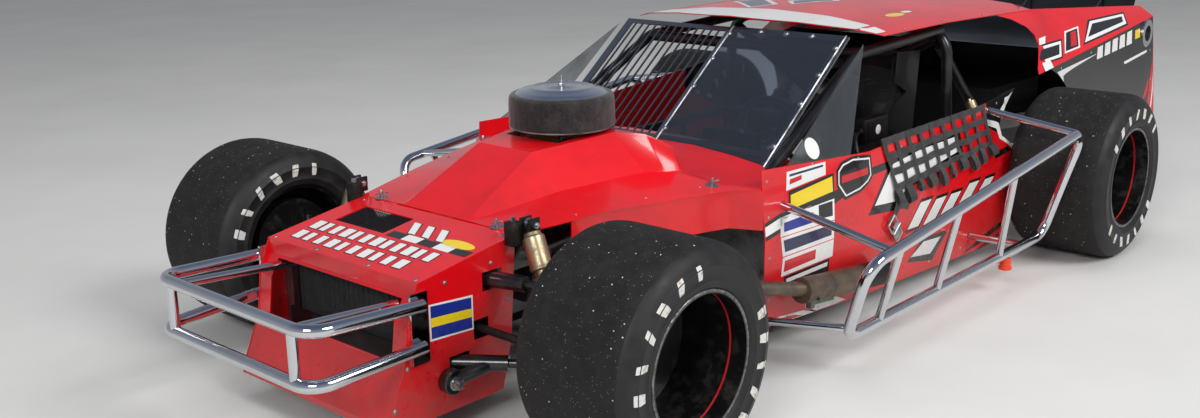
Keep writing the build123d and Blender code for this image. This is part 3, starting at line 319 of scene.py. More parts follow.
# Instrument cases, spun aluminium rings round a plain face, and the stems of three switches.
bm = bmesh.new()
for y, z, r in ((0.19, 0.632, 0.028), (0.27, 0.640, 0.040), (0.35, 0.632, 0.028)):
    case = [(0, 0.004), (r * 0.82, 0.004), (r * 0.84, 0.014), (r, 0.014), (r, -0.006), (0, -0.006)]
    turned(bm, case, (0.412, y, z), (-1, 0, 0), 28)
for y in (0.10, 0.15, 0.20):
    rod(bm, (0.416, y, 0.555), (0.398, y, 0.560), 0.004, 8, 0.0025)
fit("instrument_cases", bm, rolled, "root")


# The engine fills the bay under the hood: a cast iron block and heads, with an aluminium
# intake under a four-barrel carburettor. A steel shaft runs back to the rear axle.
# Cast iron in heat-proof black paint: matt and rough-grained, browned where it gets hot.
cast = start("cast_iron_painted", "1d1d1e", 0.62, 0.2)
weather(cast, "3a2f28", 70, 0.5, 0.8, 0.8)
relief(cast, 2.5, 0.35)
dress(cast, "engine")

# Bare turned steel: grey, with oil film and light rust.
turned_steel = start("mild_steel_turned", "77787a", 0.36, 1.0)
weather(turned_steel, "4f3f33", 40, 0.55, 0.85, 0.7)
dress(turned_steel, "driveline")

# Dichromated zinc: a pale gold film with a cloudy iridescence.
zinc = start("die_cast_zinc_dichromated", "a88b4f", 0.38, 0.95)
weather(zinc, "8c7c62", 25, 0.4, 0.7, 0.5)
relief(zinc, 1.6, 0.06)
dress(zinc, "carburettor")

# Throttle linkage, fuel line and bolts round the carburettor, seen through the hood's opening.
CARB_X = 1.0355
CABLE = [(0.10, 0.10, 0.665), (0.02, 0.115, 0.70), (-0.08, 0.10, 0.69)]
FUEL_LINE = [(0.12, -0.03, 0.66), (0.13, 0.05, 0.70), (0.05, 0.095, 0.708)]
bm = bmesh.new()
for run, radius in ((CABLE, 0.0045), (FUEL_LINE, 0.005)):
    piped(bm, [(CARB_X + x, y, z) for x, y, z in run], radius)
for y in (-0.055, 0.055):
    for x in (-0.075, 0.075):
        rod(bm, (CARB_X + x, y, 0.66), (CARB_X + x, y, 0.735), 0.004, 8)
rod(bm, (CARB_X - 0.10, 0.085, 0.695), (CARB_X + 0.11, 0.085, 0.705), 0.004, 8)
box(bm, (CARB_X + 0.055, 0.072, 0.665), (CARB_X + 0.085, 0.078, 0.725), 0.001)
fit("throttle_linkage", bm, turned_steel, "root")


# The radiator is brazed aluminium, with fins too fine to count from the front. A black wire
# screen across the opening keeps rubber and stones off it.
# Brazed aluminium fins: dull grey rows four millimetres apart, coarser than the real ones so
# that they show. A wave texture takes 6.283 of its own units for one turn.
WAVE_TURN = 6.283
fins = start("radiator_fins_brazed", "55585b", 0.45, 0.9)
FIN_PITCH = 0.004
rows = pattern(fins, "ShaderNodeTexWave",
               {"bands_direction": "Z", "Scale": 1 / FIN_PITCH / WAVE_TURN, "Distortion": 0.4})
press(fins, rows.outputs["Fac"], 2)
weather(fins, "2b2725", 50, 0.45, 0.75, 0.8)
dress(fins, "radiator")


def screen(bm, corner, foot, post, pitch, wire):
    """Adds a square of woven wires, laid diagonally between its foot and its post."""
    corner, foot, post = Vector(corner), Vector(foot), Vector(post)
    width, tall = foot.length, post.length
    u, v = foot / width, post / tall
    for lean, reach, last in ((1, -tall, width), (-1, 0.0, width + tall)):
        lift = u.cross(v) * wire * lean * 0.5
        while reach < last:
            low = max(0.0, -reach if lean == 1 else reach - width)
            high = min(tall, width - reach if lean == 1 else reach)
            if high - low > pitch / 2:
                ends = [corner + u * (reach + lean * h) + v * h + lift for h in (low, high)]
                rod(bm, *ends, wire, 4)
            reach += pitch


# Black coated wire: thin, matt and even.
wire_black = start("steel_wire_powder_coated", "0d0d0e", 0.5)
relief(wire_black, 0.6, 0.02)
bm = bmesh.new()
screen(bm, (1.952, -0.352, 0.20), (0, 0.704, 0), (0, 0, 0.262), 0.009, 0.0009)
fit("radiator_screen", bm, wire_black, "root")


# The fuel cell is a foam-filled bladder in a welded steel can. It hangs in straps between the
# rear rails, behind the axle.
# Powder-coated steel can: dark, faintly textured.
canned = start("steel_can_powder_coated", "202124", 0.55)
relief(canned, 1.5, 0.08)
dress(canned, "fuel_cell")


# The exhaust is bent from mild steel pipe and welded into a collector under each door. It
# leaves the engine above the frame and ends ahead of the rear wheel.
# Heat-stained mild steel: brown-grey scale with straw and blue bands where it ran hottest.
scale = start("mild_steel_pipe_heat_stained_shaded_end", "6f655c", 0.5, 0.85)
weather(scale, "8d7a66", 45, 0.35, 0.7, 0.62)
weather(scale, "4a4852", 120, 0.55, 0.75, 0.4)
weather(scale, "5e4031", 18, 0.6, 0.8, 0.8)
# Painted shade: from where the pipe dips under the door into the shade under the car, the last length is dull
# near-black and not metallic.
SHADE_START, SHADE_FULL, BARE_METAL, SHADED_METALLIC = 0.39, 0.36, 0.85, 0.1
tree = scale.node_tree
place = add(tree, "ShaderNodeTexCoord")
split = add(tree, "ShaderNodeSeparateXYZ", None, {0: place.outputs["Object"]})
# painted shade under the door: a step along x darkens the pipe and takes away its metal sheen
end = add(tree, "ShaderNodeMapRange", {"From Min": SHADE_START, "From Max": SHADE_FULL},
          {"Value": split.outputs["X"]})
tint(scale, end.outputs[0], "1c1a1a")
bare = add(tree, "ShaderNodeMapRange", {"To Min": BARE_METAL, "To Max": SHADED_METALLIC},
           {"Value": end.outputs[0]})
tree.links.new(bare.outputs[0], tree.nodes["Principled BSDF"].inputs["Metallic"])
relief(scale, 3, 0.12)
dress(scale, "exhausts")

# Strap and bolt that clamp the two pipes together ahead of the collector.
STRAP_X, STRAP_Y, STRAP_HALF = 0.652, 0.775, 0.012
bm = bmesh.new()
for side in (1, -1):
    box(bm, (STRAP_X - STRAP_HALF, STRAP_Y * side - STRAP_HALF, 0.150),
        (STRAP_X + STRAP_HALF, STRAP_Y * side + STRAP_HALF, 0.228), 0.003)
    rod(bm, (STRAP_X, 0.760 * side, 0.188), (STRAP_X, 0.815 * side, 0.188), 0.006, 6)
fit("exhaust_straps", bm, turned_steel, "root")


# The rear axle is a fabricated steel housing with a tube to each wheel. Links with rod ends
# guide it, and it hangs on a coil-over at each side.
# Sprayed enamel over fabricated steel: black, with oily dust.
axle_paint = start("axle_enamel_sprayed", "18181a", 0.45, 0.0, {"Coat Weight": 0.2})
weather(axle_paint, "4b443b", 45, 0.48, 0.78, 0.8)
relief(axle_paint, 2.5, 0.12)
dress(axle_paint, "rear_housing", "rear_links")


# The front arms are welded steel tube with ball joints at their outer ends. They carry forged
# spindles, which a tie rod on each side turns.
# Sprayed enamel: deep black and glossier than the axle's, with dust in patches.
arm_paint = start("arm_enamel_sprayed", "0f0f10", 0.28, 0.0, {"Coat Weight": 0.5})
weather(arm_paint, "37332e", 40, 0.55, 0.85, 0.6)
relief(arm_paint, 2, 0.06)
dress(arm_paint, "front_arms")

# Phosphated forgings: dark grey and matt, with a fine scaly grain and a brown bloom.
forged = start("forged_steel_phosphated", "2a2b2c", 0.5, 0.7)
weather(forged, "55493d", 35, 0.5, 0.8, 0.75)
relief(forged, 2, 0.15)
dress(forged, "knuckle_left", "knuckle_right", "steering_link")


# Each coil-over is a champagne anodised aluminium damper in a wound steel spring, on threaded
# collars. It is bolted to the lower arm or the axle, and to the frame above.
# Champagne anodised aluminium: satin, pale and warm, evenly tinted metal.
gold = start("aluminium_champagne_anodised", "b9a887", 0.36, 0.9)
weather(gold, "8a7b62", 30, 0.45, 0.8, 0.6)
relief(gold, 1.2, 0.03)
dress(gold, "coilovers")

# Spring steel in baked black enamel: glossy along the top of the wire.
spring_paint = start("spring_steel_enamelled", "0e0e10", 0.3, 0.0, {"Coat Weight": 0.4})
weather(spring_paint, "3c362f", 25, 0.5, 0.8, 0.7)

FRONT_FOOT, FRONT_HEAD = Vector((1.6395, 0.585, 0.205)), Vector((1.6045, 0.408, 0.588))
REAR_FOOT, REAR_HEAD = Vector((-1.0695, 0.600, 0.360)), Vector((-1.0695, 0.462, 0.602))
# shares of the damper's length between which its spring stands
SPRING_FOOT, SPRING_HEAD = 0.22, 0.585
COIL_RADIUS, WIRE_RADIUS, TURNS, STEPS = 0.037, 0.0052, 7, 20


def across(spot, side):
    """The same spot on the left side of the car, or on the right where side is -1."""
    return Vector((spot.x, spot.y * side, spot.z))


def join(bm, part):
    """Moves one bmesh into another."""
    mesh = bpy.data.meshes.new("part")
    part.to_mesh(mesh)
    part.free()
    bm.from_mesh(mesh)
    bpy.data.meshes.remove(mesh)


springs, collars = bmesh.new(), bmesh.new()
for foot, head in ((FRONT_FOOT, FRONT_HEAD), (REAR_FOOT, REAR_HEAD)):
    for side in (1, -1):
        low, high = (across(foot.lerp(head, share), side) for share in (SPRING_FOOT, SPRING_HEAD))
        axis = (high - low).normalized()
        coil = bmesh.new()
        upright = Matrix.Translation((COIL_RADIUS, 0, 0)) @ Matrix.Rotation(math.pi / 2, 4, "X")
        ring = bmesh.ops.create_circle(coil, segments=8, radius=WIRE_RADIUS, matrix=upright)
        edges = list({e for v in ring["verts"] for e in v.link_edges})
        bmesh.ops.spin(coil, geom=ring["verts"] + edges, cent=(0, 0, 0), axis=(0, 0, 1),
                       dvec=(0, 0, (high - low).length / TURNS / STEPS), angle=math.tau * TURNS,
                       steps=TURNS * STEPS)
        bmesh.ops.holes_fill(coil, edges=[e for e in coil.edges if e.is_boundary])
        bmesh.ops.transform(coil, matrix=pointed(low, axis), verts=coil.verts)
        bmesh.ops.recalc_face_normals(coil, faces=coil.faces)
        join(springs, coil)
        for spot, way in ((low, -1), (high, 1)):
            collar = [(0.010, 0), (0.041, 0), (0.043, 0.002 * way), (0.043, 0.009 * way),
                      (0.034, 0.011 * way), (0.034, 0.016 * way), (0.010, 0.016 * way)]
            turned(collars, collar, spot, axis, 28)
fit("coil_springs", springs, spring_paint, "root")
fit("spring_collars", collars, gold, "root")

# A wide turned can round the head of each front damper holds its gas.
CAN = [(0.012, 0.026), (0.024, 0.026), (0.027, 0.036), (0.0325, 0.040), (0.0335, 0.044), (0.0335, 0.128),
       (0.0350, 0.130), (0.0350, 0.136), (0.0325, 0.139), (0.012, 0.139), (0.012, 0.026)]
cans = bmesh.new()
for side in (1, -1):
    head, foot = across(FRONT_HEAD, side), across(FRONT_FOOT, side)
    turned(cans, CAN, head, foot - head, 44)
fit("damper_cans", cans, gold, "root")

# Zinc-plated steel: pale grey, slightly cloudy.
plated = start("steel_zinc_plated", "b9bbbd", 0.3, 1.0)
weather(plated, "86827b", 12, 0.5, 0.8, 0.5)
relief(plated, 0.8, 0.02)

# Each front damper hangs by a rod end on a bolt, between two black plates on its stub.
PLATE_OFF, PLATE_HALF, STUB_OFF = 0.017, 0.003, 0.03
ROD_END = [(0.0058, -0.010), (0.015, -0.0065), (0.0175, -0.0065), (0.0175, 0.0065), (0.015, 0.0065),
           (0.0058, 0.010), (0.0058, -0.010)]
plates, bolts = bmesh.new(), bmesh.new()
for side in (1, -1):
    head = across(FRONT_HEAD, side)
    for off in (-PLATE_OFF, PLATE_OFF):
        box(plates, head + Vector((-0.024, off - PLATE_HALF, -0.030)),
            head + Vector((0.024, off + PLATE_HALF, 0.020)), 0.002)
    stub = head - Vector((0, STUB_OFF * side, 0))
    box(plates, stub + Vector((0.020, -0.020, -0.062)), stub + Vector((0.060, 0.020, 0.012)), 0.005)
    rod(bolts, head - Vector((0, 0.036, 0)), head + Vector((0, 0.036, 0)), 0.0055, 12)
    for way in (-1, 1):
        rod(bolts, head + Vector((0, 0.021 * way, 0)), head + Vector((0, 0.031 * way, 0)), 0.0105, 6)
    turned(bolts, ROD_END, head, (0, 1, 0), 24)
    rod(bolts, stub + Vector((0.040, 0, 0.012)), stub + Vector((0.040, 0, 0.024)), 0.009, 6)
fit("damper_plates", plates, forged, "root")
fit("damper_bolts", bolts, plated, "root")

# Each lower front arm pivots in a bearing cup on the nose side, under a castle nut.
ARM_PIVOT, ARM_ELBOW = Vector((1.906, 0.3615, 0.180)), Vector((1.802, 0.428, 0.214))
CUP = [(0, 0.0), (0.036, 0.0), (0.038, 0.004), (0.038, 0.030), (0.034, 0.034), (0.020, 0.034), (0, 0.034)]
NUT = [(0, 0.034), (0.021, 0.034), (0.023, 0.037), (0.019, 0.038), (0.019, 0.046), (0, 0.046)]
TOOTH, TOOTH_RING, TOOTH_OUT = Vector((0.004, 0.007, 0.004)), 0.0125, 0.052
cups, nuts = bmesh.new(), bmesh.new()
for side in (1, -1):
    spot, out = across(ARM_PIVOT, side), Vector((0, side, 0))
    turned(cups, CUP, spot, out, 36)
    rod(cups, spot + out * 0.018, across(ARM_ELBOW, side), 0.021, 20)
    turned(nuts, NUT, spot, out, 28)
    for k in range(6):
        angle = math.tau * k / 6
        tooth = spot + out * TOOTH_OUT + Vector((math.cos(angle), 0, math.sin(angle))) * TOOTH_RING
        box(nuts, tooth - TOOTH, tooth + TOOTH, 0.001)
    rod(nuts, spot + out * 0.04, spot + out * 0.060, 0.0085, 12)
fit("arm_cups", cups, arm_paint, "root")
fit("arm_nuts", nuts, plated, "root")


# The body is flat and gently rolled sheet on the cage, covered with a printed gloss vinyl wrap.
# The nose, hood, doors and roof are red, and the quarters and the deck are black.
DUST_STARTS, DUST_FULL = 0.35, 0.72


def dusty(finish, colour, low, high, patch, most, rough):
    """Lets dust thicken downwards between two heights in metres, in patches of a size in mm."""
    tree = finish.node_tree
    place = add(tree, "ShaderNodeTexCoord")
    split = add(tree, "ShaderNodeSeparateXYZ", None, {0: place.outputs["Object"]})
    fall = add(tree, "ShaderNodeMapRange", {"From Min": high, "From Max": low, "To Max": most},
               {"Value": split.outputs["Z"]})
    noise = pattern(finish, "ShaderNodeTexNoise", {"Scale": 1000 / patch, "Detail": 6.0, "Roughness": 0.7})
    cloud = add(tree, "ShaderNodeMapRange", {"From Min": DUST_STARTS, "From Max": DUST_FULL},
                {"Value": noise.outputs[0]})
    share = add(tree, "ShaderNodeMath", {"operation": "MULTIPLY"}, {0: fall.outputs[0], 1: cloud.outputs[0]})
    tint(finish, share.outputs[0], colour, rough)


def laid_by_hand(finish):
    """Raises a film by the long shallow waves of the sheet under it, and by its own orange peel."""
    relief(finish, 260, 1.6, detail=1.0)
    relief(finish, 1.6, 0.015)


# Gloss red wrap: a clear film over an even red, with long shallow waves from the hand-worked
# sheet, a fine orange peel, and road dust towards the skirts.
DUST_FOOT, DUST_HEAD = 0.05, 0.42
red = start("vinyl_wrap_gloss_red", "e20a17", 0.27, 0.0, {"Coat Weight": 0.4, "Coat Roughness": 0.06})
weather(red, "c9101b", 240, 0.42, 0.7)
dusty(red, "8f5a50", DUST_FOOT, DUST_HEAD, 22, 0.55, 0.6)
laid_by_hand(red)
dress(red, "nose_top", "nose_sides", "front_valance", "hood", "fender_sides", "cowl", "side_panels", "roof",
      "sail_panels", angle=20)

# Gloss black wrap: the same film in black, which shows dust sooner.
black = start("vinyl_wrap_gloss_black", "101012", 0.22, 0.0, {"Coat Weight": 0.55, "Coat Roughness": 0.07})
weather(black, "1c1b1b", 130, 0.45, 0.75, 0.34)
dusty(black, "4d4741", DUST_FOOT, 0.7, 30, 0.5, 0.65)
laid_by_hand(black)
dress(black, "quarter_panels", "rear_deck", "tail_panel", "spoiler", angle=20)


# Stripes and patches are cut vinyl, laid on the wrapped sheet in up to four layers. They are
# plain blocks of colour, and follow the sheet's folds and curves.
def skin(*names):
    """Tree of the faces of CAD nodes, which finds where a small part rests on them."""
    points, faces = [], []
    for name in names:
        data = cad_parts[name].data
        first = len(points)
        points += [v.co.copy() for v in data.vertices]
        faces += [[first + i for i in f.vertices] for f in data.polygons]
    return BVHTree.FromPolygons(points, faces)


SHEET_PITCH, CLEAR_OF_CAR, FILM_LIFT = 0.04, 1.3, 0.0006


def vinyl(bm, corners, over, side=0, lift=FILM_LIFT):
    """Cuts a flat shape and lays it on the sheet, from a side of the car, or from above for side 0."""
    along = Vector((0, -side, 0)) if side else Vector((0, 0, -1))
    cut = bmesh.new()
    cut.faces.new([cut.verts.new((x, CLEAR_OF_CAR * side, b) if side else (x, b, CLEAR_OF_CAR))
                   for x, b in corners])
    bmesh.ops.triangulate(cut, faces=cut.faces, ngon_method="EAR_CLIP")
    for axis, spots in zip("XZ" if side else "XY", zip(*corners)):
        normal = Vector([float(axis == name) for name in "XYZ"])
        for k in range(math.ceil(min(spots) / SHEET_PITCH), math.floor(max(spots) / SHEET_PITCH) + 1):
            bmesh.ops.bisect_plane(cut, geom=cut.verts[:] + cut.edges[:] + cut.faces[:],
                                   plane_co=normal * k * SHEET_PITCH, plane_no=normal)
    for vert in cut.verts:
        spot = over.ray_cast(vert.co, along)[0] or over.find_nearest(vert.co)[0]
        vert.co = spot - along * lift
    cut.normal_update()
    bmesh.ops.reverse_faces(cut, faces=[f for f in cut.faces if f.normal.dot(along) > 0])
    join(bm, cut)


def film(name, colour, gloss=0.2):
    """Starts a printed vinyl film: even colour under a clear gloss, dusty low on the car."""
    finish = start("vinyl_film_" + name, colour, gloss, 0.0, {"Coat Weight": 0.4})
    dusty(finish, "7d7068", DUST_FOOT, DUST_HEAD, 22, 0.5, 0.6)
    laid_by_hand(finish)
    return finish


films = {name: film(name, colour) for name, colour in (
    ("white", "ececea"), ("black", "0f0f11"), ("yellow", "f2d21c"), ("blue", "1d2f8f"), ("navy", "152049"),
    ("red", "c8101e"), ("green", "1d7a3c"))}

side_skin = skin("side_panels", "quarter_panels", "sail_panels", "nose_sides", "fender_sides", "vent_windows")


def disc(x, z, wide, tall, steps=20):
    """Corners of a round or oval patch."""
    angles = [math.tau * k / steps for k in range(steps)]
    return [(x + wide * math.cos(angle), z + tall * math.sin(angle)) for angle in angles]


# colour, height of the layer above the wrap in millimetres, outline in x and z
PATCHES = [
    # stripe behind the front wheel, which tapers to the rear under the patches
    ("black", 0.5, [(0.806, 0.463), (0.730, 0.482), (0.444, 0.506), (0.225, 0.552), (0.087, 0.558),
                    (0.079, 0.531), (0.227, 0.524), (0.446, 0.462), (0.733, 0.419), (0.806, 0.403)]),
    ("white", 0.9, [(0.806, 0.450), (0.730, 0.468), (0.560, 0.482), (0.732, 0.433), (0.806, 0.418)]),
    # stack of plain patches ahead of the window net
    ("black", 0.5, disc(0.530, 0.668, 0.0375, 0.0370, 28)),
    ("white", 0.9, disc(0.530, 0.668, 0.0355, 0.0350, 28)),
    ("white", 0.9, [(0.685, 0.615), (0.482, 0.617), (0.484, 0.572), (0.693, 0.553)]),
    ("navy", 1.3, [(0.673, 0.605), (0.496, 0.609), (0.496, 0.602), (0.673, 0.597)]),
    ("red", 1.3, [(0.672, 0.588), (0.610, 0.593), (0.612, 0.578), (0.675, 0.571)]),
    ("black", 0.9, [(0.680, 0.549), (0.440, 0.571), (0.441, 0.486), (0.684, 0.469)]),
    ("yellow", 1.3, [(0.672, 0.535), (0.450, 0.561), (0.450, 0.508), (0.674, 0.487)]),
    ("white", 0.9, [(0.728, 0.466), (0.444, 0.482), (0.448, 0.408), (0.733, 0.403)]),
    ("blue", 1.3, [(0.712, 0.448), (0.560, 0.457), (0.562, 0.421), (0.714, 0.417)]),
    ("black", 1.3, [(0.530, 0.473), (0.455, 0.476), (0.457, 0.424), (0.532, 0.426)]),
    ("white", 0.9, [(0.731, 0.400), (0.449, 0.405), (0.449, 0.341), (0.719, 0.332)]),
    ("navy", 1.3, [(0.718, 0.389), (0.463, 0.394), (0.463, 0.356), (0.708, 0.346)]),
    ("white", 0.9, [(0.718, 0.328), (0.449, 0.338), (0.452, 0.277), (0.725, 0.263)]),
    ("red", 1.3, [(0.708, 0.316), (0.545, 0.322), (0.547, 0.288), (0.713, 0.277)]),
    ("black", 0.9, [(0.709, 0.260), (0.468, 0.272), (0.470, 0.226), (0.708, 0.218)]),
    ("white", 1.3, [(0.698, 0.250), (0.478, 0.262), (0.480, 0.247), (0.698, 0.236)]),
    ("white", 0.9, [(0.593, 0.161), (0.421, 0.138), (0.421, 0.090), (0.590, 0.092)]),
    ("green", 1.3, [(0.580, 0.147), (0.433, 0.128), (0.433, 0.112), (0.580, 0.122)]),
    ("white", 0.9, [(0.750, 0.124), (0.600, 0.114), (0.600, 0.086), (0.749, 0.088)]),
    ("red", 1.3, [(0.742, 0.117), (0.660, 0.111), (0.660, 0.094), (0.742, 0.096)]),
    # bordered blank badge
    ("black", 0.9, [(0.425, 0.578), (0.395, 0.602), (0.330, 0.612), (0.222, 0.600), (0.216, 0.522),
                    (0.240, 0.500), (0.296, 0.478), (0.386, 0.466), (0.428, 0.520)]),
    ("white", 1.3, [(0.415, 0.572), (0.390, 0.592), (0.330, 0.602), (0.231, 0.591), (0.226, 0.527),
                    (0.248, 0.508), (0.298, 0.489), (0.381, 0.477), (0.418, 0.524)]),
    ("black", 1.7, [(0.409, 0.568), (0.386, 0.586), (0.330, 0.596), (0.237, 0.585), (0.232, 0.530),
                    (0.252, 0.513), (0.299, 0.495), (0.377, 0.483), (0.412, 0.526)]),
    ("red", 2.1, [(0.398, 0.553), (0.247, 0.558), (0.247, 0.535), (0.400, 0.527)]),
    # broad slanted block that runs in under the net
    ("black", 0.5, [(0.253, 0.383), (0.087, 0.561), (-0.100, 0.580), (-0.402, 0.588), (-0.425, 0.500),
                    (-0.240, 0.470), (-0.060, 0.440), (-0.020, 0.352), (0.021, 0.363)]),
    ("white", 0.9, [(0.211, 0.411), (0.079, 0.541), (-0.105, 0.562), (-0.383, 0.572), (-0.398, 0.512),
                    (-0.245, 0.490), (-0.030, 0.462), (0.040, 0.399)]),
    # low block behind the exhaust
    ("black", 0.5, [(-0.035, 0.140), (-0.220, 0.107), (-0.328, 0.206), (-0.140, 0.214)]),
    ("white", 0.9, [(-0.058, 0.155), (-0.204, 0.137), (-0.277, 0.190), (-0.148, 0.198)]),
    # dark stripe and thin slashes ahead of the door's rear end
    ("black", 0.5, [(-0.673, 0.454), (-0.839, 0.466), (-0.862, 0.445), (-0.696, 0.428)]),
    ("black", 0.5, [(-0.440, 0.070), (-0.620, 0.118), (-0.849, 0.152), (-0.862, 0.138), (-0.642, 0.095)]),
    ("black", 0.5, [(-0.520, 0.060), (-0.660, 0.084), (-0.812, 0.098), (-0.806, 0.088), (-0.660, 0.070)]),
    # white arc round the top of the door's rear end
    ("white", 0.5, [(-0.614, 0.603), (-0.700, 0.580), (-0.790, 0.541), (-0.868, 0.492), (-0.930, 0.440),
                    (-0.966, 0.392), (-0.951, 0.378), (-0.906, 0.436), (-0.850, 0.474), (-0.780, 0.514),
                    (-0.700, 0.552), (-0.614, 0.579)]),
    # white wedge above the wheel, cut by the arch
    ("white", 0.5, [(-0.700, 0.602), (-0.795, 0.668), (-0.868, 0.694), (-0.850, 0.678), (-0.742, 0.588)]),
    ("white", 0.5, [(-1.262, 0.712), (-1.420, 0.727), (-1.681, 0.751), (-1.422, 0.712), (-1.357, 0.699),
                    (-1.290, 0.680)]),
    # blank bars on the black quarter
    *(("white", 0.5, [(-1.662 - 0.082 * k, 0.722 + 0.007 * k), (-1.724 - 0.082 * k, 0.727 + 0.007 * k),
                      (-1.728 - 0.082 * k, 0.782 + 0.009 * k),
                      (-1.672 - 0.082 * k, 0.776 + 0.009 * k)]) for k in range(5)),
    ("white", 0.5, [(-1.970, 0.665), (-2.230, 0.694), (-2.228, 0.706), (-1.962, 0.678)]),
    ("yellow", 0.5, [(-2.090, 0.770), (-2.150, 0.775), (-2.146, 0.818), (-2.092, 0.812)]),
    # red and white slashes ahead of the tail
    ("red", 0.5, [(-2.170, 0.470), (-2.212, 0.480), (-2.240, 0.520), (-2.250, 0.580), (-2.226, 0.540)]),
    ("red", 0.5, [(-2.308, 0.790), (-2.300, 0.660), (-2.262, 0.560), (-2.222, 0.420), (-2.246, 0.330),
                  (-2.308, 0.244)]),
    ("white", 0.9, [(-2.302, 0.600), (-2.288, 0.500), (-2.252, 0.380), (-2.272, 0.400), (-2.300, 0.500)]),
    # bordered patches on the red sheet above the quarter
    ("black", 0.5, [(-1.095, 0.752), (-1.340, 0.765), (-1.425, 0.836), (-1.190, 0.828)]),
    ("white", 0.9, [(-1.108, 0.759), (-1.336, 0.771), (-1.408, 0.829), (-1.196, 0.821)]),
    ("black", 1.3, [(-1.140, 0.770), (-1.330, 0.781), (-1.380, 0.818), (-1.212, 0.811)]),
    ("white", 0.5, [(-1.374, 0.779), (-1.522, 0.791), (-1.625, 0.872), (-1.486, 0.862)]),
    ("black", 0.9, [(-1.392, 0.787), (-1.517, 0.797), (-1.604, 0.865), (-1.492, 0.856)]),
    ("red", 1.3, [(-1.455, 0.800), (-1.511, 0.803), (-1.580, 0.858), (-1.528, 0.854)]),
    ("black", 0.5, [(-1.560, 0.797), (-2.043, 0.842), (-2.105, 0.896), (-1.741, 0.890)]),
    ("white", 0.9, [(-1.585, 0.806), (-2.037, 0.849), (-2.085, 0.889), (-1.748, 0.883)]),
    ("black", 1.3, [(-1.640, 0.824), (-2.025, 0.859), (-2.052, 0.880), (-1.752, 0.872)]),
    ("yellow", 0.5, disc(-1.052, 0.772, 0.030, 0.034)),
    ("white", 0.5, [(-1.247, 0.853), (-1.314, 0.858), (-1.276, 0.831), (-1.220, 0.829)]),
    ("white", 0.5, [(-0.766, 0.640), (-0.846, 0.655), (-0.850, 0.676), (-0.772, 0.668)]),
]

# five leaning bars in a row under the net, each with a dark edge
BAR_WIDE, BAR_LEAN = 0.078, 0.088
for k, (x, z) in enumerate(((-0.022, 0.272), (-0.136, 0.266), (-0.250, 0.268), (-0.392, 0.288),
                            (-0.520, 0.286))):
    top = z + 0.088 - 0.004 * k
    foot_rear, head_rear, head_front = x - BAR_WIDE, x - BAR_WIDE - BAR_LEAN, x - BAR_LEAN
    PATCHES += [
        ("black", 0.5, [(x + 0.014, z - 0.012), (foot_rear - 0.004, z - 0.014),
                        (head_rear - 0.016, top + 0.012), (head_front - 0.002, top + 0.013)]),
        ("white", 0.9, [(x, z), (foot_rear, z - 0.002), (head_rear, top), (head_front, top + 0.001)])]
for colour in films:
    bm = bmesh.new()
    for shade, lift, outline in PATCHES:
        if shade == colour:
            for side in (1, -1):
                vinyl(bm, outline, side_skin, side, lift / 1000)
    fit("side_film_" + colour, bm, films[colour], "root", turn=False)


# The nose top is a loose sheet with a screened vent, held by button-head screws, with a checkered
# tape behind the vent.
nose_skin = skin("nose_top", "nose_sides", "front_valance")
bm = bmesh.new()
screen(bm, (1.6805, -0.275, 0.5375), (0.124, 0, -0.019), (0, 0.245, 0), 0.0105, 0.0011)
fit("vent_screen", bm, wire_black, "root")

TAPE_REAR, TAPE_FRONT, TAPE_START, TAPE_BLOCK = 1.775, 1.811, -0.012, 0.072
for colour, first in (("black", 0), ("white", 1)):
    bm = bmesh.new()
    for step in range(first, 5, 2):
        right = TAPE_START + step * TAPE_BLOCK
        left = right + TAPE_BLOCK
        vinyl(bm, [(TAPE_REAR, right), (TAPE_FRONT, right), (TAPE_FRONT, left), (TAPE_REAR, left)], nose_skin)
    fit("nose_checker_" + colour, bm, films[colour], "root", turn=False)

# Two rows of plain upright blocks across the nose, and three slashes beside the vent, each with
# a dark edge.
DARK_EDGE, BLOCK_LEAN = 0.0035, 0.008
nose_blocks = [[(1.700, y - 0.002), (1.768, y + 0.045), (1.768, y + 0.076), (1.700, y + 0.029)]
               for y in (0.000, 0.064, 0.128)]
for rear, front, right, pitch, count in ((1.830, 1.884, -0.312, 0.0498, 12),
                                         (1.906, 1.957, -0.302, 0.0545, 10)):
    for k in range(count):
        y, wide = right + pitch * k, 0.031 + 0.006 * math.sin(k * 2.1 + front)
        nose_blocks.append([(rear, y), (front, y + BLOCK_LEAN), (front, y + BLOCK_LEAN + wide),
                            (rear, y + wide)])
for colour, lift, edge in (("black", 0.0006, DARK_EDGE), ("white", 0.001, 0.0)):
    bm = bmesh.new()
    for block in nose_blocks:
        grown = [(x + way * edge, y + aside * edge)
                 for (x, y), way, aside in zip(block, (-1, 1, 1, -1), (-1, -1, 1, 1))]
        vinyl(bm, grown, nose_skin, lift=lift)
    fit("nose_blocks_" + colour, bm, films[colour], "root", turn=False)

# Blank bordered patch on each side of the nose, and a plain oval ahead of the hood.
PATCH_ENDS, PATCH_HEIGHTS = (1.798, 1.963), ((0.304, 0.409), (0.313, 0.422))
# colour, height above the wrap, width of the border round it, and the share of its height it fills
for colour, lift, edge, shares in (("white", 0.0006, 0.0, (0.0, 1.0)), ("blue", 0.001, 0.006, (0.0, 1.0)),
                                   ("yellow", 0.0014, 0.006, (0.36, 0.64))):
    bm = bmesh.new()
    rear, front = PATCH_ENDS[0] + edge, PATCH_ENDS[1] - edge
    (rear_low, rear_high), (front_low, front_high) = (
        [low + edge + (high - low - 2 * edge) * share for share in shares] for low, high in PATCH_HEIGHTS)
    for side in (1, -1):
        vinyl(bm, [(rear, rear_low), (front, front_low), (front, front_high), (rear, rear_high)],
              nose_skin, side, lift)
    if colour == "yellow":
        vinyl(bm, disc(1.757, 0.262, 0.024, 0.068), nose_skin)
    fit("nose_patch_" + colour, bm, films[colour], "root", turn=False)

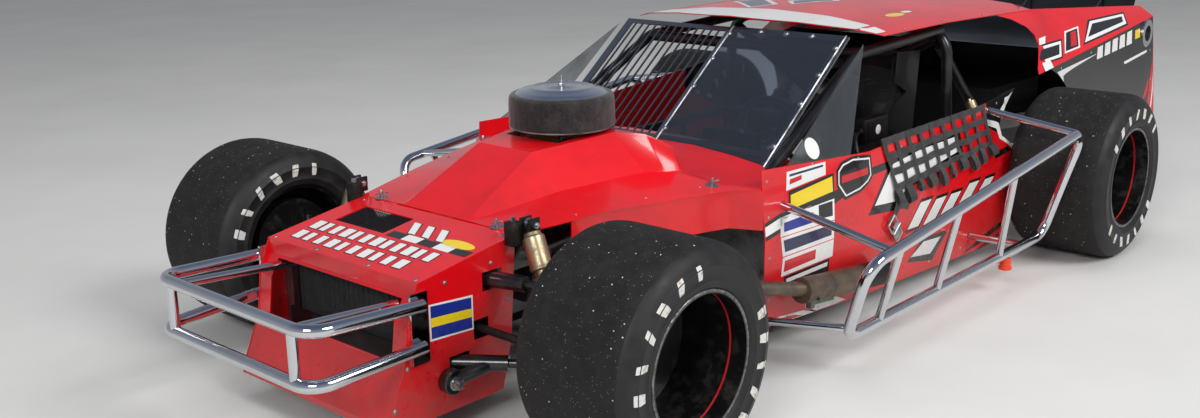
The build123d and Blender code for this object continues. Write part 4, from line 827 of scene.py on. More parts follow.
# White band across the front edge of the roof, and blank blocks and ovals behind it.
ROOF_EDGE, ROOF_BOW, BAND_BACK, BAND_BOW = 0.0715, 0.4338, -0.205, 0.21
roof_skin = skin("roof")
ys = [0.57 - 0.0475 * k for k in range(25)]
front = [(ROOF_EDGE - ROOF_BOW * y * y, y) for y in ys]
back = [(BAND_BACK + BAND_BOW * y * y, y) for y in ys]
for name, colour, lift, shapes in (
        ("band", "white", FILM_LIFT,
         (front + back[::-1],
          [(-0.480, -0.395), (-0.225, -0.125), (-0.385, -0.085), (-0.610, -0.300)],
          [(-0.400, -0.030), (-0.640, 0.060), (-0.760, -0.050), (-0.520, -0.130)],
          disc(-0.560, 0.420, 0.035, 0.016))),
        ("blocks", "navy", 0.001,
         ([(-0.475, -0.365), (-0.260, -0.135), (-0.375, -0.110), (-0.575, -0.300)],
          [(-0.435, -0.038), (-0.625, 0.035), (-0.710, -0.045), (-0.525, -0.105)])),
        ("oval", "yellow", FILM_LIFT, (disc(-0.450, 0.430, 0.062, 0.027),))):
    bm = bmesh.new()
    for corners in shapes:
        vinyl(bm, corners, roof_skin, lift=lift)
    fit("roof_" + name, bm, films[colour], "root", turn=False)


# The sheets are held to the cage by button-head screws and rivets of zinc-plated steel. Four
# pins stand up through the hood, and a spring-wire clip through each holds it down.
def studs(bm, spots, over, radius):
    """Adds button heads where rays from the given places meet the sheet."""
    dome = ((0.92, 0.35), (0.6, 0.6), (0.28, 0.68), (0.24, 0.3), (0, 0.3))
    head = [(radius * 1.25, -0.0005), (radius * 1.25, 0.0008), (radius, 0.001)]
    head += [(radius * r, radius * h) for r, h in dome]
    for start_spot, along in spots:
        spot, normal = over.ray_cast(Vector(start_spot), Vector(along))[:2]
        if spot is None:
            continue
        if normal.dot(Vector(along)) > 0:
            normal = -normal
        turned(bm, head, spot, normal, 12)


body_skin = skin("nose_top", "nose_sides", "front_valance", "hood", "fender_sides", "side_panels",
                 "quarter_panels", "roof", "sail_panels", "tail_panel", "rear_deck")
bm = bmesh.new()
spots = [((1.984, y, 0.8), (0, 0, -1)) for y in (-0.338, -0.125, 0.125, 0.338)]
spots += [((1.645, y, 0.8), (0, 0, -1)) for y in (-0.33, 0.33)]
for side in (1, -1):
    spots += [((x, 0.6 * side, z), (0, -side, 0)) for x, z in (
        (1.8995, 0.472), (1.7215, 0.487), (2.0455, 0.386), (2.0485, 0.257), (2.115, 0.227), (2.0995, 0.147),
        (1.66, 0.36), (1.68, 0.15))]
studs(bm, spots, body_skin, 0.006)
spots = []
for side in (1, -1):
    spots += [((x, 1.3 * side, 0.105), (0, -side, 0)) for x in (0.76, 0.52, 0.28, 0.04, -0.2, -0.44)]
    spots += [((0.785, 1.3 * side, z), (0, -side, 0)) for z in (0.2, 0.34, 0.48, 0.6)]
    spots += [((x, 1.3 * side, z), (0, -side, 0)) for x, z in (
        (-0.70, 0.655), (-1.0, 0.69), (-1.3, 0.725), (-1.6, 0.76), (-1.9, 0.79), (-2.2, 0.83), (-2.27, 0.7),
        (-2.27, 0.56), (-2.27, 0.42), (0.02, 0.595), (0.3, 0.60), (0.55, 0.62))]
    spots += [((x, y * side, 1.4), (0, 0, -1)) for x, y in (
        (0.03, 0.58), (-0.25, 0.585), (-0.55, 0.59), (-0.9, 0.59), (-1.25, 0.59), (-1.7, 0.55), (-2.1, 0.60),
        (1.40, 0.40), (1.15, 0.47), (0.95, 0.53))]
studs(bm, spots, body_skin, 0.0042)
fit("panel_screws", bm, plated, "root")

hood_skin = skin("hood")
CLIP = [(-0.020, 0, 0), (0.022, 0, 0), (0.034, 0.010, 0.004), (0.034, 0.030, 0.010), (0.012, 0.040, 0.012),
        (-0.010, 0.032, 0.008), (-0.020, 0.012, 0.003), (-0.010, 0.007, 0), (0.015, 0.008, 0)]
bm = bmesh.new()
for x, y in ((1.606, -0.284), (1.606, 0.268), (0.905, 0.545), (0.905, -0.545)):
    spot, normal = hood_skin.ray_cast(Vector((x, y, 1.2)), Vector((0, 0, -1)))[:2]
    normal = normal if normal.z > 0 else -normal
    turned(bm, [(0.0065, 0), (0.022, 0), (0.022, 0.0012), (0.0065, 0.0016)], spot, normal, 24)
    turned(bm, [(0, 0.026), (0.0035, 0.026), (0.0055, 0.022), (0.0055, -0.004), (0, -0.004)], spot, normal,
           14)
    hole = spot + normal * 0.014
    piped(bm, [hole + Vector(p) for p in CLIP], 0.0014, 1)
fit("hood_pins", bm, plated, "root")


# The driver's half of the windshield is a smoke-tinted polycarbonate sheet, screwed to steel
# strips. The other half is open, behind a row of thin rods. Clear sheet closes the corners.
# Smoked polycarbonate: clear to the eye but darkened, with a faint wave.
smoke = start("polycarbonate_smoked", "8c95a4", 0.03, 0.0, {"Transmission Weight": 0.94, "IOR": 1.585})
relief(smoke, 180, 0.5, detail=1.0)
dress(smoke, "windshield", angle=30)

# Clear polycarbonate: grey at the edges, a little dusty.
clear = start("polycarbonate_clear", "b9c0c4", 0.06, 0.0, {"Transmission Weight": 0.95, "IOR": 1.585})
weather(clear, "8f9494", 150, 0.5, 0.8, 0.25)
relief(clear, 180, 0.4, detail=1.0)
dress(clear, "vent_windows", "rear_window", angle=30)

# Bright rods and strips: mild steel, ground and clear-coated.
ground_steel = start("mild_steel_ground", "9a9c9f", 0.3, 1.0)
relief(ground_steel, 0.8, 0.02)
dress(ground_steel, "windshield_frame")

SHEET_FOOT, SHEET_HEAD = Vector((0.5535, 0, 0.608)), Vector((0.0595, 0, 0.994))
up_sheet = (SHEET_HEAD - SHEET_FOOT).normalized()
off_sheet = Vector((up_sheet.z, 0, -up_sheet.x))
SHEET_SCREW = [(0, 0.007), (0.005, 0.0065), (0.0085, 0.003), (0.0085, 0.0015), (0.013, 0.0012), (0.013, 0),
               (0, 0)]
bm = bmesh.new()
for y, share in ((0.016, 0.92), (0.016, 0.46), (0.016, 0.11), (0.153, 0.958), (0.384, 0.958), (0.512, 0.88),
                 (0.512, 0.43), (0.43, -0.08), (0.16, -0.05), (0.512, 0.10), (0.512, 0.66), (0.016, 0.70),
                 (0.27, 0.958)):
    turned(bm, SHEET_SCREW, SHEET_FOOT.lerp(SHEET_HEAD, share) + Vector((0, y, 0)), off_sheet, 14)
fit("windshield_screws", bm, plated, "root")

# Edge channel round the tinted sheet: thin bright aluminium that the sheet slips into.
CHANNEL_OFF, CHANNEL_RADIUS = 0.0015, 0.0035
bm = bmesh.new()
for y in (0.0135, 0.5235):
    low, high = (SHEET_FOOT.lerp(SHEET_HEAD, share) + Vector((0, y, 0)) + off_sheet * CHANNEL_OFF
                 for share in (-0.10, 0.985))
    rod(bm, low, high, CHANNEL_RADIUS, 4)
fit("windshield_channel", bm, rolled, "root")


# The seat is a wrap-round aluminium shell with foam pads in a black fabric cover. Five straps of
# woven webbing hold the driver, and meet at a latch in the lap.
# Black powder coat over the seat's sheet: satin, with a fine pebble, rubbed grey on the wings.
shell = start("seat_powder_coated", "141416", 0.36, 0.0, {"Coat Weight": 0.15})
weather(shell, "3b3a39", 55, 0.6, 0.85, 0.55)
relief(shell, 1.5, 0.05)
dress(shell, "seat")

# Woven pad cover: black polyester cloth with a crossed weave, drawn at three millimetres so
# that it shows, a soft sheen and paler dust where it is sat on.
WEAVE_MM = 3
cover_cloth = start("polyester_cover_woven", "1b1b1d", 0.9, 0.0,
                    {"Sheen Weight": 0.45, "Sheen Roughness": 0.45})
weave = pattern(cover_cloth, "ShaderNodeTexChecker", {"Scale": 1000 / WEAVE_MM})
press(cover_cloth, weave.outputs["Fac"], 0.6)
weather(cover_cloth, "39373a", 70, 0.45, 0.8)

SIM_STEPS, VOXEL, MOST_SWELL, FOAM_FILL = 20, 0.0055, 0.011, 0.7
SEAT_Y = 0.270
pads = []


def stuffed(name, size, spot, lean, pressure=4.0):
    """Makes a foam pad: a block under its cover, which a short cloth simulation swells."""
    bm = bmesh.new()
    bmesh.ops.create_cube(bm, size=1, matrix=Matrix.Diagonal((*size, 1)))
    bmesh.ops.bevel(bm, geom=bm.edges[:], offset=min(size) * 0.36, affect="EDGES", segments=3, profile=0.5,
                    material=-1)
    bmesh.ops.transform(bm, matrix=Matrix.Translation(spot) @ Matrix.Rotation(math.radians(lean), 4, "Y"),
                        verts=bm.verts)
    pad = fit(name, bm, cover_cloth, "root", smooth=80)
    grid = pad.modifiers.new("grid", "REMESH")
    grid.mode = "VOXEL"
    grid.voxel_size = VOXEL
    grid.use_smooth_shade = True
    shape = pad.evaluated_get(bpy.context.evaluated_depsgraph_get())
    pad.data = bpy.data.meshes.new_from_object(shape)
    pad.modifiers.clear()
    pads.append((pad, [v.co.copy() for v in pad.data.vertices]))
    cloth = pad.modifiers.new("cloth", "CLOTH")
    cloth.settings.use_pressure = True
    cloth.settings.uniform_pressure_force = pressure
    cloth.settings.effector_weights.gravity = 0
    cloth.settings.tension_stiffness = 20
    cloth.settings.compression_stiffness = 20
    cloth.settings.quality = 4
    cloth.point_cache.frame_end = SIM_STEPS


stuffed("pad_seat", (0.330, 0.300, 0.034), (-0.318, SEAT_Y, 0.268), -4.5)
stuffed("pad_back", (0.034, 0.296, 0.440), (-0.5500, SEAT_Y, 0.515), -12.2)
stuffed("pad_head", (0.026, 0.240, 0.085), (-0.5880, SEAT_Y, 0.800), -6.5)
for side, y in (("left", 0.4215), ("right", 0.1185)):
    stuffed("pad_hip_" + side, (0.240, 0.018, 0.095), (-0.350, y, 0.345), 4, 3.0)
    stuffed("pad_temple_" + side, (0.105, 0.020, 0.075), (-0.525, y, 0.800), 0, 3.0)
for step in range(1, SIM_STEPS + 1):
    scene.frame_set(step)
for pad, rest in pads:
    shape = pad.evaluated_get(bpy.context.evaluated_depsgraph_get())
    swollen = bpy.data.meshes.new_from_object(shape)
    pad.modifiers.clear()
    for vert, base in zip(swollen.vertices, rest):
        swell = vert.co - base
        if swell.length > MOST_SWELL:
            vert.co = base + swell.normalized() * MOST_SWELL
    pad.data = swollen
    smoother = pad.modifiers.new("smoother", "SUBSURF")
    smoother.levels = smoother.render_levels = 1
scene.frame_set(1)

# Woven polyester webbing: fine cross ribs a millimetre and a half apart, matt black.
RIB_MM = 1.5
webbing = start("polyester_webbing_woven", "131315", 0.82, 0.0, {"Sheen Weight": 0.3})
ribs = pattern(webbing, "ShaderNodeTexChecker", {"Scale": 1000 / RIB_MM})
press(webbing, ribs.outputs["Fac"], 0.8)
weather(webbing, "37342f", 40, 0.5, 0.85)


def strap(bm, points, wide, width, steps=48):
    """Adds a strip of webbing that runs smoothly past the points, and returns its length."""
    mesh = bent(points, steps)
    spots = [v.co.copy() for v in mesh.vertices]
    bpy.data.meshes.remove(mesh)
    for vert in bmesh.ops.create_grid(bm, x_segments=steps, y_segments=1, size=0.5)["verts"]:
        reach = (vert.co.x + 0.5) * (len(spots) - 1)
        at = min(int(reach), len(spots) - 2)
        vert.co = spots[at].lerp(spots[at + 1], reach - at) + Vector(wide).normalized() * width * vert.co.y
    return sum((b - a).length for a, b in zip(spots, spots[1:]))


def web(name, bm, thick=0.0016):
    """Makes webbing strips a piece, with their real thickness."""
    piece = fit(name, bm, webbing, "root", smooth=60, turn=False)
    cloth = piece.modifiers.new("cloth", "SOLIDIFY")
    cloth.thickness = thick
    cloth.offset = 0
    return piece


# Routes of the belts from their outer ends to the latch: x, distance from the seat's middle, z.
SHOULDER = [(-0.560, 0.065, 0.640), (-0.524, 0.065, 0.628), (-0.508, 0.060, 0.540), (-0.492, 0.048, 0.430),
            (-0.462, 0.030, 0.335), (-0.392, 0.015, 0.304), (-0.345, 0.008, 0.306)]
LAP = [(-0.430, 0.135, 0.330), (-0.400, 0.115, 0.312), (-0.370, 0.070, 0.304), (-0.345, 0.015, 0.306)]
CROTCH = [(-0.215, 0, 0.296), (-0.250, 0, 0.300), (-0.300, 0, 0.302), (-0.340, 0, 0.306)]
for name, route, side, wide, width in (
        ("shoulder_left", SHOULDER, 1, (0, 1, 0), 0.050), ("shoulder_right", SHOULDER, -1, (0, 1, 0), 0.050),
        ("lap_left", LAP, 1, (1, 0, 0.1), 0.050), ("lap_right", LAP, -1, (1, 0, 0.1), 0.050),
        ("crotch", CROTCH, 1, (0, 1, 0), 0.044)):
    bm = bmesh.new()
    length = strap(bm, [(x, SEAT_Y + off * side, z) for x, off, z in route], wide, width)
    web("belt_" + name, bm)
bm = bmesh.new()
turned(bm, [(0, -0.004), (0.030, -0.004), (0.032, 0.000), (0.032, 0.008), (0.027, 0.012), (0.012, 0.013),
            (0, 0.013)], (-0.345, SEAT_Y, 0.312), (0, 0, 1), 36)
box(bm, (-0.377, 0.262, 0.322), (-0.325, 0.278, 0.330), 0.002)
fit("belt_latch", bm, plated, "root")

# Suede-covered rim: a soft matt nap on the steering wheel's grip.
suede = start("suede_napped", "1b1a1b", 0.9, 0.0, {"Sheen Weight": 0.5})
weather(suede, "2e2c2c", 12, 0.4, 0.7)
relief(suede, 0.9, 0.12)
dress(suede, "steering_wheel")

# A black moulded box with a plain round badge hangs inside the window on a bent stalk.
moulded = start("abs_moulded_black", "121214", 0.38)
relief(moulded, 0.7, 0.03)
bm = bmesh.new()
box(bm, (-0.272, 0.478, 0.548), (-0.100, 0.524, 0.648), 0.010)
box(bm, (-0.258, 0.524, 0.560), (-0.114, 0.528, 0.636), 0.0015)
STALK = [(-0.105, 0.500, 0.600), (-0.060, 0.505, 0.602), (-0.010, 0.530, 0.580), (0.000, 0.556, 0.520),
         (0.000, 0.560, 0.486)]
piped(bm, STALK, 0.008, 3)
turned(bm, [(0.0082, -0.014), (0.014, -0.014), (0.014, 0.014), (0.0082, 0.014), (0.0082, -0.014)],
       (-0.090, 0.501, 0.601), (1, 0, 0), 20)
fit("radio_box", bm, moulded, "root")
bm = bmesh.new()
turned(bm, [(0, 0.0012), (0.017, 0.0012), (0.019, 0), (0, 0)], (-0.186, 0.528, 0.600), (0, 1, 0), 28)
fit("radio_badge", bm, films["white"], "root")


# The window net is sewn from flat polyester webbing, ten straps across four. It is let down for
# the stop: it hangs from the door's sill over the sheet, and its loops and latch hang free.
# its corners, seen from the side: front top, rear top, rear foot, front foot
NET = [Vector((0.1595, 0, 0.640)), Vector((-0.5905, 0, 0.664)), Vector((-0.6705, 0, 0.445)),
       Vector((0.0595, 0, 0.380))]
NET_LONG, NET_DEEP, WEB_WIDE, NET_OFF, SILL_Z = 0.75, 0.25, 0.026, 0.0052, 0.600
# shares of the net's length and depth at which its straps lie
STRAPS, FIRST_STRAP, STRAP_STEP = 10, 0.018, 0.1071
ROWS, ROW_STEP, LOOP_ROW = (0.035, 0.265, 0.495, 0.725), 0.230, 0.745
CROSSING = 0.0011
door_skin = skin("side_panels", "quarter_panels")


def on_net(share, down, off=0.0):
    """Point of the hanging net, a share along it and down it, and its extra distance from the door."""
    spot = NET[0].lerp(NET[1], share).lerp(NET[3].lerp(NET[2], share), down)
    height = min(spot.z, SILL_Z)
    # a second ray, 6 mm ahead, passes by the gap between the door and the quarter
    rays = (door_skin.ray_cast(Vector((spot.x + ahead, CLEAR_OF_CAR, height)), Vector((0, -1, 0)))[0]
            for ahead in (0, 0.006))
    door = next(ray for ray in rays if ray is not None)
    wave = 0.0022 * math.sin(share * 23 + down * 5) + 0.0016 * math.sin(share * 51 - down * 9)
    hollow = 0.006 * max(0.0, down - 0.35) * (1 + math.sin(share * 17 + 1.5))
    spot.y = door.y - 0.1 * (spot.z - height) + NET_OFF + wave * (0.3 + down) + hollow + off
    spot.z += 0.004 * math.sin(share * 29 + 2.0) * down
    spot.x += 0.004 * math.sin(down * 12 + share * 40) * down
    return spot


bm = bmesh.new()
for k in range(STRAPS):
    share = FIRST_STRAP + STRAP_STEP * k
    for vert in bmesh.ops.create_grid(bm, x_segments=60, y_segments=2, size=0.5)["verts"]:
        down, aside = vert.co.x + 0.5, vert.co.y * WEB_WIDE / NET_LONG
        over = CROSSING * math.cos(math.pi * (down - ROWS[0]) / ROW_STEP + math.pi * k)
        vert.co = on_net(share + aside * (1 - 0.25 * down), down * 0.78 - 0.02, over)
for k, down in enumerate(ROWS):
    for vert in bmesh.ops.create_grid(bm, x_segments=200, y_segments=2, size=0.5)["verts"]:
        share, aside = 0.002 + (vert.co.x + 0.5) * 0.996, vert.co.y * WEB_WIDE / NET_DEEP
        over = -CROSSING * math.cos(math.pi * (share - FIRST_STRAP) / STRAP_STEP + math.pi * k)
        vert.co = on_net(share, down + aside, over)
# a loop of webbing hangs from the foot of each strap
for k in range(STRAPS):
    share = FIRST_STRAP + STRAP_STEP * k
    wide = 0.036 + 0.006 * math.sin(k * 2.3)
    deep = 0.056 + 0.012 * math.sin(k * 1.9)
    for vert in bmesh.ops.create_grid(bm, x_segments=24, y_segments=2, size=0.5)["verts"]:
        turn, aside = (vert.co.x + 0.5) * math.tau, vert.co.y * wide / NET_LONG
        drop = deep * (1 - math.cos(turn)) / 2
        bulge = 0.003 + 0.22 * drop + 0.013 * math.sin(turn) * math.sin(turn / 2)
        sway = 0.022 * math.sin(k * 3.1) * drop / 0.06
        vert.co = on_net(share + aside + sway, LOOP_ROW, bulge) - Vector((0.18 * drop, 0, drop))
net = web("webbing_net", bm)
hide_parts("window_net")

# The latch hangs from the net's front corner: a strap, and a plated frame with its lever.
latch, down_latch, outwards = Vector((0.086, 0.0, 0.302)), Vector((-0.66, 0.0, -0.75)), Vector((0, 1, 0))
latch.y = door_skin.ray_cast(Vector((latch.x, CLEAR_OF_CAR, latch.z)), -outwards)[0].y + 0.014
bm = bmesh.new()
length = strap(bm, [on_net(0.02, 0.80, 0.004), on_net(0.01, 0.93, 0.006), (0.083, latch.y - 0.004, 0.352),
                    latch - down_latch * 0.062, latch - down_latch * 0.040], (0.9, 0, 0.25), WEB_WIDE)
web("latch_strap", bm)
aside_latch = down_latch.cross(outwards).normalized()
bm = bmesh.new()
for near, far, wide in ((-0.050, -0.002, 0.026), (0.002, 0.052, 0.022)):
    corners = [latch + down_latch * s + aside_latch * w
               for s, w in ((near, -wide), (near, wide), (far, wide), (far, -wide))]
    for a, b in zip(corners, corners[1:] + corners[:1]):
        rod(bm, a, b, 0.0042, 10)
lever = Matrix((down_latch, outwards, aside_latch)).transposed().to_4x4()
for middle, low, high in ((latch, (-0.030, 0.004, -0.015), (0.026, 0.0065, 0.015)),
                          (latch + down_latch * 0.034, (-0.016, -0.004, -0.015), (0.016, -0.0015, 0.015))):
    box(bm, middle + Vector(low), middle + Vector(high), 0.001, lever)
pin, half = latch + outwards * 0.006, aside_latch * 0.028
rod(bm, pin + half, pin - half, 0.0050, 12)
fit("net_latch", bm, plated, "root")


# The front and side bars are bent steel tube, polished and chromed, with flanges bolted to the
# frame. The side bars fend other cars off the wheels.
# Bright chrome plate: mirror-like, with faint polishing waves, and dust low down.
chrome = start("steel_chrome_plated", "d9dbdf", 0.06, 1.0)
dusty(chrome, "8a847c", 0.05, 0.5, 18, 0.35, 0.45)
relief(chrome, 60, 0.25, detail=1.0)
dress(chrome, "front_bumper", "side_bars")

# Moulded orange plastic: even, satin and faintly grained. A plug of it closes the foot of a
# post in each side bar.
plug = start("pvc_moulded_orange", "e8431c", 0.4)
weather(plug, "b5482c", 14, 0.5, 0.8)
relief(plug, 1.2, 0.05)
bm = bmesh.new()
for side in (1, -1):
    turned(bm, [(0, 0.046), (0.019, 0.046), (0.021, 0.040), (0.021, 0.014), (0.025, 0.012), (0.025, 0.002),
                (0.022, 0), (0, 0)], (-0.330, 1.016 * side, 0.093), (0, 0, 1), 28)
fit("bar_plugs", bm, plug, "root")


# The fuel filler is a neck of spun aluminium, let into the left quarter and held by a ring of
# screws, so that fuel can be poured in at a stop.
# Spun aluminium: bright and plain, with a fine grain.
spun = start("aluminium_spun", "c3c5c7", 0.26, 1.0)
relief(spun, 1.0, 0.02)
dress(spun, "fuel_filler")


# The tyres are wide treadless racing slicks, moulded in one smooth section. Rubber pick-up and
# grit cling to the tread, and the sidewalls are smooth, with thin moulding rings.
# Worn slick tread: grey-black, dry and matt, with grit specks and pale scuffs round it.
tread = start("slick_rubber_worn", "1b1a1a", 0.78, 0.0, {"Specular IOR Level": 0.35})
weather(tread, "292725", 45, 0.4, 0.72, 0.88)
weather(tread, "3b3835", 9, 0.62, 0.74)
# the width of a cell in millimetres, the dots' shares of it, the share of empty cells, a colour
for cell, inner, outer, empty, colour in ((19, 0.09, 0.13, 0.72, "d2d0ca"), (9, 0.07, 0.13, 0.50, "a3a099")):
    tree = tread.node_tree
    grit = pattern(tread, "ShaderNodeTexVoronoi", {"Scale": 1000 / cell})
    dots = add(tree, "ShaderNodeMapRange", {"From Min": outer, "From Max": inner},
               {"Value": grit.outputs["Distance"]})
    pick = add(tree, "ShaderNodeSeparateColor", None, {0: grit.outputs["Color"]})
    some = add(tree, "ShaderNodeMath", {"operation": "GREATER_THAN", 1: empty}, {0: pick.outputs[0]})
    both = add(tree, "ShaderNodeMath", {"operation": "MULTIPLY"}, {0: dots.outputs[0], 1: some.outputs[0]})
    tint(tread, both.outputs[0], colour)
relief(tread, 2.2, 0.25)
relief(tread, 14, 0.35)

# Moulded sidewall rubber: darker and smoother than the tread, with a soft sheen.
wall = start("slick_rubber_moulded", "171718", 0.5, 0.0, {"Specular IOR Level": 0.4})
weather(wall, "2b2a29", 70, 0.42, 0.75, 0.72)
relief(wall, 1.4, 0.05)

# White sidewall paint, rolled on by hand: thin, chalky and scuffed through to the rubber.
marking = start("tyre_paint_rolled", "dad7d0", 0.7)
weather(marking, "6d6a65", 16, 0.52, 0.74)
relief(marking, 1.2, 0.04)

# radius of the tread, x, wheel body, and the outer rim face's y
WHEELS = {"front_left": (0.331, 1.6485, "wheel_front_left", 1.083),
          "front_right": (0.331, 1.6485, "wheel_front_right", -1.083),
          "rear_left": (0.340, -1.0695, "rear_wheels", 1.196),
          "rear_right": (0.340, -1.0695, "rear_wheels", -1.196)}
TYRE_WIDE, BEAD_RADIUS, WALL_PAST_RIM, TREAD_DEPTH = 0.410, 0.2043, 0.012, 0.012
MARKS, MARK_PITCH, MARK_FOOT, MARK_TALL, MARK_LIFT = 7, 17.0, 0.2445, 0.0415, 0.0005
for name, (radius, x, body, face) in WHEELS.items():
    side = 1 if face > 0 else -1
    out = abs(face) + WALL_PAST_RIM
    # radius, and depth in from the outer sidewall
    half = [(BEAD_RADIUS, 0.028), (0.2085, 0.0125), (0.216, 0.0065), (0.2265, 0.0042), (0.229, 0.0018),
            (0.2335, 0.0018), (0.236, 0.0035), (0.252, 0.0014), (radius - 0.062, 0.0006),
            (radius - 0.060, -0.0004), (radius - 0.0575, -0.0004), (radius - 0.0555, 0.0012),
            (radius - 0.042, 0.0055), (radius - 0.029, 0.0125), (radius - 0.018, 0.0215),
            (radius - 0.009, 0.0335), (radius - 0.003, 0.048), (radius - 0.0005, 0.064), (radius, 0.085),
            (radius, 0.14)]
    outline = half + [(r, TYRE_WIDE - depth) for r, depth in reversed(half)]
    bm = bmesh.new()
    turned(bm, [(r, (out - depth) * side) for r, depth in outline], (x, 0, radius), (0, 1, 0), 112)
    slick = fit("slick_" + name, bm, wall, body, smooth=50)
    slick.data.materials.append(tread)
    for panel in slick.data.polygons:
        if math.hypot(panel.center.x - x, panel.center.z - radius) > radius - TREAD_DEPTH:
            panel.material_index = 1
    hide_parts("tyre_" + name)

    # two arcs of plain painted blocks on each sidewall, laid just above its curve
    bm = bmesh.new()
    for inside in (False, True):
        first = 2 if inside else -18 if "front" in name else 36
        for k in range(2 * MARKS):
            turn = math.radians(first + MARK_PITCH * (k % MARKS) + 180 * (k // MARKS))
            lean = 0.04 * math.sin(k * 2.7)
            wide = math.radians(5.6 + 1.4 * math.sin(k * 1.9))
            for vert in bmesh.ops.create_grid(bm, x_segments=6, y_segments=8, size=0.5)["verts"]:
                r = MARK_FOOT + MARK_TALL * (vert.co.y + 0.5)
                angle = turn + vert.co.x * wide * (1 - 0.3 * abs(vert.co.y)) + lean * vert.co.y
                (inner, near), (outer, far) = next(pair for pair in zip(half, half[1:])
                                                   if pair[0][0] <= r <= pair[1][0])
                depth = near + (far - near) * (r - inner) / (outer - inner) - MARK_LIFT
                if inside:
                    depth = TYRE_WIDE - depth
                vert.co = (x + math.cos(angle) * r, (out - depth) * side, radius + math.sin(angle) * r)
    fit("sidewall_marks_" + name, bm, marking, body)


# The rims are wide welded steel in black enamel, with a bright worn lip. Five nuts hold each
# wheel, and a thin red tape runs round inside the barrel.
# Black wheel enamel: satin, greyed by brake dust.
rim_paint = start("wheel_enamel_baked", "0c0c0d", 0.35, 0.0, {"Coat Weight": 0.3})
weather(rim_paint, "34302c", 40, 0.5, 0.82, 0.7)
relief(rim_paint, 2, 0.05)
dress(rim_paint, *("rim_" + name for name in WHEELS), angle=30)

# Lip rubbed bright by tools and tyre beads: bare steel grey, with enamel left in the scratches.
worn = start("rim_lip_rubbed_bright", "8b8c8e", 0.35, 0.9)
weather(worn, "3c3c3d", 15, 0.4, 0.7, 0.6)
tape = film("red_tape", "d2151f", 0.3)
RIM_RADIUS, BARREL_RADIUS, NUT_RING, HUB_IN = 0.207, 0.196, 0.0635, 0.25
LIP = [(RIM_RADIUS - 0.0075, 0.0002), (RIM_RADIUS - 0.006, 0.0012), (RIM_RADIUS - 0.001, 0.0012),
       (RIM_RADIUS + 0.0004, 0)]
TAPE = [(BARREL_RADIUS + 0.0004, -0.052), (BARREL_RADIUS - 0.0005, -0.052), (BARREL_RADIUS - 0.0005, -0.058),
        (BARREL_RADIUS + 0.0004, -0.058)]
HUB = [(0, 0.030), (0.022, 0.030), (0.030, 0.024), (0.032, 0.0), (0, -0.004)]
for name, (radius, x, body, face) in WHEELS.items():
    side = 1 if face > 0 else -1
    centre = Vector((x, face, radius))
    out = Vector((0, side, 0))
    bm = bmesh.new()
    turned(bm, LIP, centre, out, 96)
    fit("lip_" + name, bm, worn, body)
    bm = bmesh.new()
    turned(bm, TAPE, centre, out, 96)
    fit("tape_" + name, bm, tape, body)
    bm = bmesh.new()
    for k in range(5):
        angle = math.tau * k / 5 + 0.3
        spot = centre - out * (HUB_IN + 0.002) + Vector((math.cos(angle), 0, math.sin(angle))) * NUT_RING
        rod(bm, spot, spot + out * 0.022, 0.0125, 6)
        rod(bm, spot + out * 0.020, spot + out * 0.032, 0.0065, 12)
    turned(bm, HUB, centre - out * HUB_IN, out, 32)
    # the valve's stem stands in the barrel
    rod(bm, centre + Vector((0.185, -0.075 * side, 0.04)), centre + Vector((0.178, -0.035 * side, 0.038)),
        0.0045, 8)
    fit("wheel_nuts_" + name, bm, plated, body)


# The air filter stands clear of the hood: a spun aluminium pan and lid clamp a pleated paper
# ring, and a black stretch cover over the ring keeps the grit out.
AIR = Vector((1.0355, 0.0, 0.742))
# Polished spun aluminium: bright, with fine rings from the lathe.
polished = start("aluminium_spun_polished", "e2e5ea", 0.2, 1.0)
RING_PITCH = 0.003
rings = pattern(polished, "ShaderNodeTexWave",
                {"wave_type": "RINGS", "rings_direction": "Z", "Scale": 1 / RING_PITCH / WAVE_TURN,
                 "Distortion": 0.6},
                (1, 1, 0), (-AIR.x, -AIR.y, 0))
press(polished, rings.outputs["Fac"], 0.12)
bm = bmesh.new()
LID = [(0, 0.140), (0.016, 0.140), (0.018, 0.1385), (0.045, 0.1385), (0.049, 0.1365), (0.095, 0.1345),
       (0.100, 0.1375), (0.108, 0.1375), (0.113, 0.1335), (0.140, 0.1285), (0.152, 0.1225), (0.158, 0.1175),
       (0.158, 0.1155), (0.150, 0.1150), (0, 0.120)]
turned(bm, LID, AIR, (0, 0, 1), 96)
lid = fit("filter_lid", bm, polished, "root", smooth=40)
bm = bmesh.new()
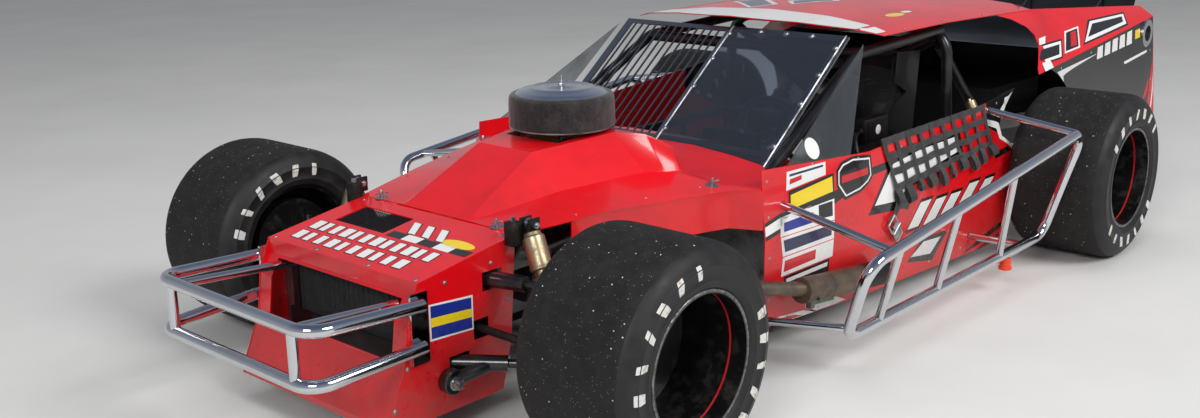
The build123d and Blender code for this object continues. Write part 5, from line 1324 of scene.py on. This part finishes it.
turned(bm, [(0.060, 0.001), (0.176, 0.001), (0.182, 0.004), (0.182, 0.008), (0.150, 0.010), (0.060, 0.010)],
       AIR, (0, 0, 1), 96)
fit("filter_pan", bm, rolled, "root")
bm = bmesh.new()
rod(bm, AIR + Vector((0, 0, 0.12)), AIR + Vector((0, 0, 0.176)), 0.0032, 10)
turned(bm, [(0, 0.149), (0.009, 0.149), (0.011, 0.146), (0.011, 0.140), (0, 0.140)], AIR, (0, 0, 1), 6)
fit("filter_stud", bm, plated, "root")

# Stretch fabric cover: black polyester with a fuzzy face, gathered by elastic at both hems.
fuzzy = start("polyester_knit_brushed", "19191b", 0.95, 0.0, {"Sheen Weight": 0.3, "Sheen Roughness": 0.5})
weather(fuzzy, "2f2e30", 9, 0.42, 0.68)
weather(fuzzy, "403c37", 60, 0.5, 0.8)
relief(fuzzy, 1.6, 0.35)
relief(fuzzy, 8, 0.5)
COVER_TALL, PULLED_IN = 0.1175, 0.0006
bm = bmesh.new()
COVER = [(0.150, 0.1155), (0.159, 0.1175), (0.168, 0.1175), (0.176, 0.113), (0.1805, 0.105), (0.182, 0.096),
         (0.1825, 0.080), (0.1830, 0.060), (0.1825, 0.040), (0.1822, 0.024), (0.1835, 0.016), (0.1815, 0.008),
         (0.174, 0.003), (0.166, 0.001)]
turned(bm, COVER, AIR, (0, 0, 1), 144)
for vert in bm.verts:
    spoke = Vector((vert.co.x - AIR.x, vert.co.y, 0))
    angle = math.atan2(spoke.y, spoke.x)
    high = (vert.co.z - AIR.z) / COVER_TALL
    pull = 0.0011 * math.sin(angle * 31 + 2.0 * math.sin(angle * 5)) * (1 - high) ** 2
    pull += 0.0009 * math.sin(angle * 23 + math.sin(angle * 7)) * high ** 6
    pull += 0.0006 * math.sin(angle * 9 + high * 4)
    vert.co += spoke.normalized() * (pull - PULLED_IN)
bm.normal_update()
cover = fit("filter_cover", bm, fuzzy, "root", smooth=80)
thick = cover.modifiers.new("cloth", "SOLIDIFY")
thick.thickness = 0.0008
thick.offset = -1
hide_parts("air_cleaner")
